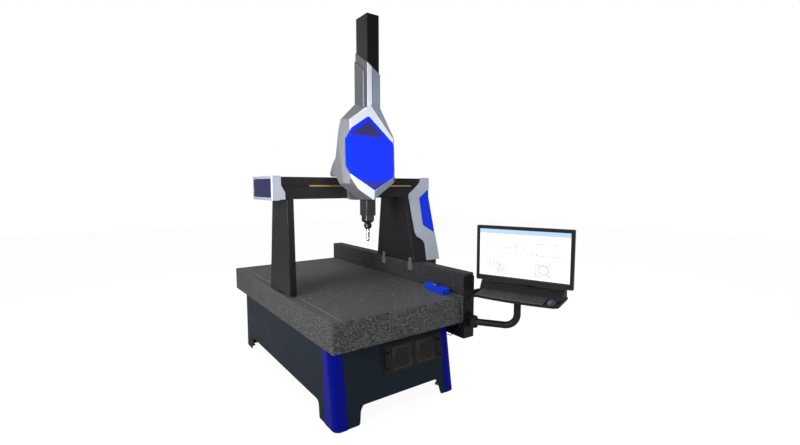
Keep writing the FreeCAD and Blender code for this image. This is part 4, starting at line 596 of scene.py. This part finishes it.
# ---- the picture on the screen: a plain drawing of a flanged tube, made of thin ribbons
consoleFrame = {"foot": (0.746, -1.318), "turn": -69.7}  # the arm's upright, and the console's turn about it
screenPicture = {
    "left": -0.288, "right": 0.336, "low": 0.143, "high": 0.486,  # across and up the console
    "front": 0.0113, "step": 0.00015,  # a plane just before the glass, and the step out to each layer
    "headerHeight": 0.030, "barHeight": 0.010,
}
screenGrid = {
    "columns": (-0.24, 0.30, 6), "rows": (0.19, 0.43, 5),  # first, last and how many
    "sideGap": 0.01, "gap": 0.002, "line": 0.0014,
}
screenDrawing = {
    "line": 0.0020,
    "slant": 0.6,  # the tube's ellipses: centre and half sizes
    "tubeEnds": [((-0.19, 0.245), (0.012, 0.020)), ((-0.10, 0.195), (0.014, 0.024))],
    "tubeSides": [((-0.182, 0.264), (-0.088, 0.216)), ((-0.203, 0.228), (-0.114, 0.174))],
    "tubeBands": [((-0.15, 0.222), (0.013, 0.022)), ((-0.135, 0.214), (0.013, 0.022))],
    "tubeFlange": (-0.228, -0.205, 0.236, 0.270),  # boxes: left, right, low and high
    "plateCentre": (0.165, 0.225), "plateHalf": 0.05, "bores": (0.036, 0.028),
    "boltReach": 0.038, "bolt": 0.004,
    "sideView": (-0.25, -0.05, 0.32, 0.40),
    "disc": ((0.0, 0.36), (0.030, 0.030)),
    "endView": (0.09, 0.28, 0.32, 0.40), "endLines": (0.12, 0.25),
}


def consolePoint(across, away, up):
    # a place on the operator's console, turned about the arm's upright
    turn = math.radians(consoleFrame["turn"])
    foot = consoleFrame["foot"]
    across, away, up = np.broadcast_arrays(np.asarray(across, float), away, up)
    return np.stack([foot[0] + across * math.cos(turn) - away * math.sin(turn),
                     foot[1] + across * math.sin(turn) + away * math.cos(turn), up], axis=-1)


def layerDepth(layer):
    return screenPicture["front"] - layer * screenPicture["step"]


def flatPatch(name, left, right, low, high, look, layer):
    corners = consolePoint([left, right, right, left], layerDepth(layer), [low, low, high, high])
    pieceFrom(name, corners, [[0, 1, 2, 3]], look, "display")


def ribbons(name, strokes, look, width, layer):
    # each stroke is a row of points in the screen's plane, and its ribbon is the row moved half a width
    # to each side, square to the way it runs
    points, faces, first = [], [], 0
    for stroke in strokes:
        run = np.gradient(stroke, axis=0)
        run /= np.linalg.norm(run, axis=1, keepdims=True)
        side = np.stack([-run[:, 1], run[:, 0]], axis=1) * width / 2
        both = np.stack([stroke + side, stroke - side], axis=1).reshape(-1, 2)
        points.append(consolePoint(both[:, 0], layerDepth(layer), both[:, 1]))
        faces.append(gridFaces(len(stroke), 2) + first)
        first += len(both)
    pieceFrom(name, np.concatenate(points), np.concatenate(faces), look, "display")


def ringStroke(centre, half, turn=0.0, count=40):
    # an ellipse: half sizes times cosine and sine of the angle, turned and moved to the centre
    angle = np.linspace(0.0, 2 * math.pi, count)
    x, z = half[0] * np.cos(angle), half[1] * np.sin(angle)
    return np.stack([centre[0] + x * math.cos(turn) - z * math.sin(turn),
                     centre[1] + x * math.sin(turn) + z * math.cos(turn)], axis=1)


def boxStroke(left, right, low, high):
    return np.array([(left, low), (right, low), (right, high), (left, high), (left, low)])


def gridStrokes(page, grid):
    low = page["low"] + page["barHeight"] + grid["gap"]
    high = page["high"] - page["headerHeight"] - grid["gap"]
    left, right = page["left"] + grid["sideGap"], page["right"] - grid["sideGap"]
    strokes = [np.array([(x, low), (x, high)]) for x in np.linspace(*grid["columns"])]
    return strokes + [np.array([(left, z), (right, z)]) for z in np.linspace(*grid["rows"])]


def drawingStrokes(look):
    # the slanting tube
    strokes = [ringStroke(centre, half, look["slant"]) for centre, half in look["tubeEnds"]]
    strokes += [np.array(side) for side in look["tubeSides"]]
    strokes += [ringStroke(centre, half, look["slant"]) for centre, half in look["tubeBands"]]
    strokes.append(boxStroke(*look["tubeFlange"]))
    # the flange from its face: a square plate, two bores and four bolt holes
    (x, z), half, reach = look["plateCentre"], look["plateHalf"], look["boltReach"]
    strokes.append(boxStroke(x - half, x + half, z - half, z + half))
    strokes += [ringStroke((x, z), (bore, bore)) for bore in look["bores"]]
    strokes += [ringStroke((x + side, z + rise), (look["bolt"], look["bolt"]), count=14)
                for rise in (reach, -reach) for side in (-reach, reach)]
    # the side view with its centre line, the disc, and the end view with two edges
    left, right, low, high = look["sideView"]
    middle = (low + high) / 2
    strokes += [boxStroke(left, right, low, high), np.array([(left, middle), (right, middle)])]
    strokes.append(ringStroke(*look["disc"]))
    left, right, low, high = look["endView"]
    strokes.append(boxStroke(left, right, low, high))
    return strokes + [np.array([(x, low), (x, high)]) for x in look["endLines"]]


def drawScreen(page):
    left, right, low, high = (page[key] for key in ("left", "right", "low", "high"))
    flatPatch("screenHeader", left, right, high - page["headerHeight"], high, "headBlue", 1)
    flatPatch("screenTaskBar", left, right, low, low + page["barHeight"], "barDark", 1)
    ribbons("screenGrid", gridStrokes(page, screenGrid), "faintLine", screenGrid["line"], 1)
    ribbons("screenDrawing", drawingStrokes(screenDrawing), "inkViolet", screenDrawing["line"], 2)


drawScreen(screenPicture)
print("screen picture drawn")

# ---- screws of the end bracket: button heads with a round recess
bracketScrews = {
    "radius": 0.005, "sides": 12, "seat": -1.0202,  # y of the plane that the heads sit on
    "profile": [(1.0, 0.0), (1.0, 0.25), (0.9, 0.45), (0.62, 0.56), (0.46, 0.56), (0.42, 0.2), (0.0, 0.2)],
    "leftInset": 0.014, "rightInset": 0.016, "lowInset": 0.02, "heights": (-0.215, -0.12, 0.10),
}


def buttonHeads(name, places, look, body):
    # each head is a profile of radius r and height h turned round Y: x = r cos(a), y = -h, z = r sin(a)
    radius, height = (np.array(look["profile"]) * look["radius"]).T[:, :, None]
    angle = np.linspace(0, 2 * math.pi, look["sides"], endpoint=False)
    shape = np.stack(np.broadcast_arrays(radius * np.cos(angle), -height, radius * np.sin(angle)), axis=-1)
    rings, sides = shape.shape[:2]
    faces = gridFaces(rings, sides, closeColumns=True)
    points = np.concatenate([shape.reshape(-1, 3) + np.asarray(place) for place in places])
    allFaces = np.concatenate([faces + k * rings * sides for k in range(len(places))])
    pieceFrom(name, points, allFaces, "darkMetal", body)


def bracketPlaces(look):
    low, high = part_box("end_bracket")
    columns = (low[0] + look["leftInset"], high[0] - look["rightInset"])
    heights = (low[2] + look["lowInset"], *look["heights"])
    return [(x, look["seat"], z) for z in heights for x in columns]


buttonHeads("bracketScrews", bracketPlaces(bracketScrews), bracketScrews, "base")
print("fasteners placed")

# ---- the light line scribed along the table beside the left leg
trackLine = {"across": -0.458, "width": 0.0022, "lift": 0.0002, "endGap": 0.004}


def makeTrackLine(look):
    # a flat strip just over the table's top, from a gap behind its front edge to a gap before its rear one
    low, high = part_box("granite_table")
    left, right = look["across"] - look["width"] / 2, look["across"] + look["width"] / 2
    front, rear, top = low[1] + look["endGap"], high[1] - look["endGap"], high[2] + look["lift"]
    corners = [(left, front, top), (right, front, top), (right, rear, top), (left, rear, top)]
    pieceFrom("trackLine", corners, [[0, 1, 2, 3]], "chalk", "base")


makeTrackLine(trackLine)
print("table line scribed")

# ---- floor, world, lamps and camera
stageLook = {
    "floor": -0.7222, "half": 14.0,  # just under the feet, and half the floor's side
    "white": 0.9, "glow": 1.12, "shadowShare": 0.16,  # how much of the floor's look is left to its shadows
    "world": 0.27,
}


def seenByCamera(tree):
    path = addNode(tree, "ShaderNodeLightPath")
    return mathNode(tree, "MAXIMUM", path.outputs["Is Camera Ray"], path.outputs["Is Transmission Ray"])


def mixShaders(tree, share, first, second, end):
    mix = addNode(tree, "ShaderNodeMixShader")
    for index, socket in enumerate((share, first.outputs[0], second.outputs[0])):
        tree.links.new(socket, mix.inputs[index])
    tree.links.new(mix.outputs[0], end.inputs["Surface"])


def makeFloor(look):
    # white to the camera apart from a share of its shadows, and plain matt to every other ray
    half, level = look["half"], look["floor"]
    mesh = bpy.data.meshes.new("floor")
    mesh.from_pydata([(-half, -half, level), (half, -half, level), (half, half, level), (-half, half, level)],
                     [], [(0, 1, 2, 3)])
    floor = bpy.data.objects.new("floor", mesh)
    bpy.context.scene.collection.objects.link(floor)
    material = bpy.data.materials.new("paleFloor")
    tree = emptyTree(material)
    end = addNode(tree, "ShaderNodeOutputMaterial")
    matt = addNode(tree, "ShaderNodeBsdfDiffuse")
    matt.inputs["Color"].default_value = (look["white"],) * 3 + (1.0,)
    glow = addNode(tree, "ShaderNodeEmission")
    glow.inputs["Strength"].default_value = look["glow"]
    share = mathNode(tree, "MULTIPLY", seenByCamera(tree), 1.0 - look["shadowShare"])
    mixShaders(tree, share, matt, glow, end)
    mesh.materials.append(material)


def makeWorld(look):
    # white to the camera, and a dimmer white to light the machine
    world = bpy.data.worlds.new("studio")
    bpy.context.scene.world = world
    tree = emptyTree(world)
    end = addNode(tree, "ShaderNodeOutputWorld")
    soft = addNode(tree, "ShaderNodeBackground")
    white = addNode(tree, "ShaderNodeBackground")
    setInputs(soft, {"Color": (1.0, 1.0, 1.0, 1.0), "Strength": look["world"]})
    setInputs(white, {"Color": (1.0, 1.0, 1.0, 1.0)})
    mixShaders(tree, seenByCamera(tree), soft, white, end)


lamps = {
    "keyLamp": {"place": (-4.4, -1.9, 2.2), "target": (0.0, -0.3, 1.35), "size": (2.2, 2.2), "power": 38.0,
                "spread": 60},
    "topLamp": {"place": (0.0, -0.5, 4.6), "target": (0.0, -0.2, 0.5), "size": (3.0, 3.0), "power": 95.0},
    "fillLamp": {"place": (2.2, -5.2, 1.4), "target": (0.1, -0.3, 0.7), "size": (2.6, 2.6), "power": 24.0},
    "chinLamp": {"place": (-3.2, -2.2, 0.1), "target": (0.1, -0.5, 0.95), "size": (0.7, 0.5), "power": 5.0,
                 "spread": 26},
    "rimLamp": {"place": (-2.0, 3.4, 2.6), "target": (0.0, 0.0, 0.8), "size": (2.4, 2.4), "power": 30.0},
}


def addLamp(name, place, target, size, power, spread=180):
    data = bpy.data.lights.new(name, "AREA")
    data.shape = "RECTANGLE"
    data.size, data.size_y = size
    data.energy = power
    data.spread = math.radians(spread)
    lamp = bpy.data.objects.new(name, data)
    bpy.context.scene.collection.objects.link(lamp)
    way = np.subtract(target, place)
    lamp.location = place
    lamp.rotation_euler = (math.atan2(math.hypot(way[0], way[1]), -way[2]), 0.0, math.atan2(-way[0], way[1]))


viewpoint = {"place": (-1.586, -3.138, 0.7855), "yaw": 36.02, "pitch": 4.9, "lens": 18.797, "sensor": 36.0}


def placeCamera(view):
    data = bpy.data.cameras.new("camera")
    data.lens = view["lens"]
    data.sensor_width = view["sensor"]
    camera = bpy.data.objects.new("camera", data)
    camera.location = view["place"]
    camera.rotation_euler = (math.radians(90 - view["pitch"]), 0.0, math.radians(-view["yaw"]))
    bpy.context.scene.collection.objects.link(camera)
    bpy.context.scene.camera = camera


makeFloor(stageLook)
makeWorld(stageLook)
for lampName, lampSettings in lamps.items():
    addLamp(lampName, **lampSettings)
placeCamera(viewpoint)
bpy.context.scene.view_settings.view_transform = "Standard"
print("stage set")
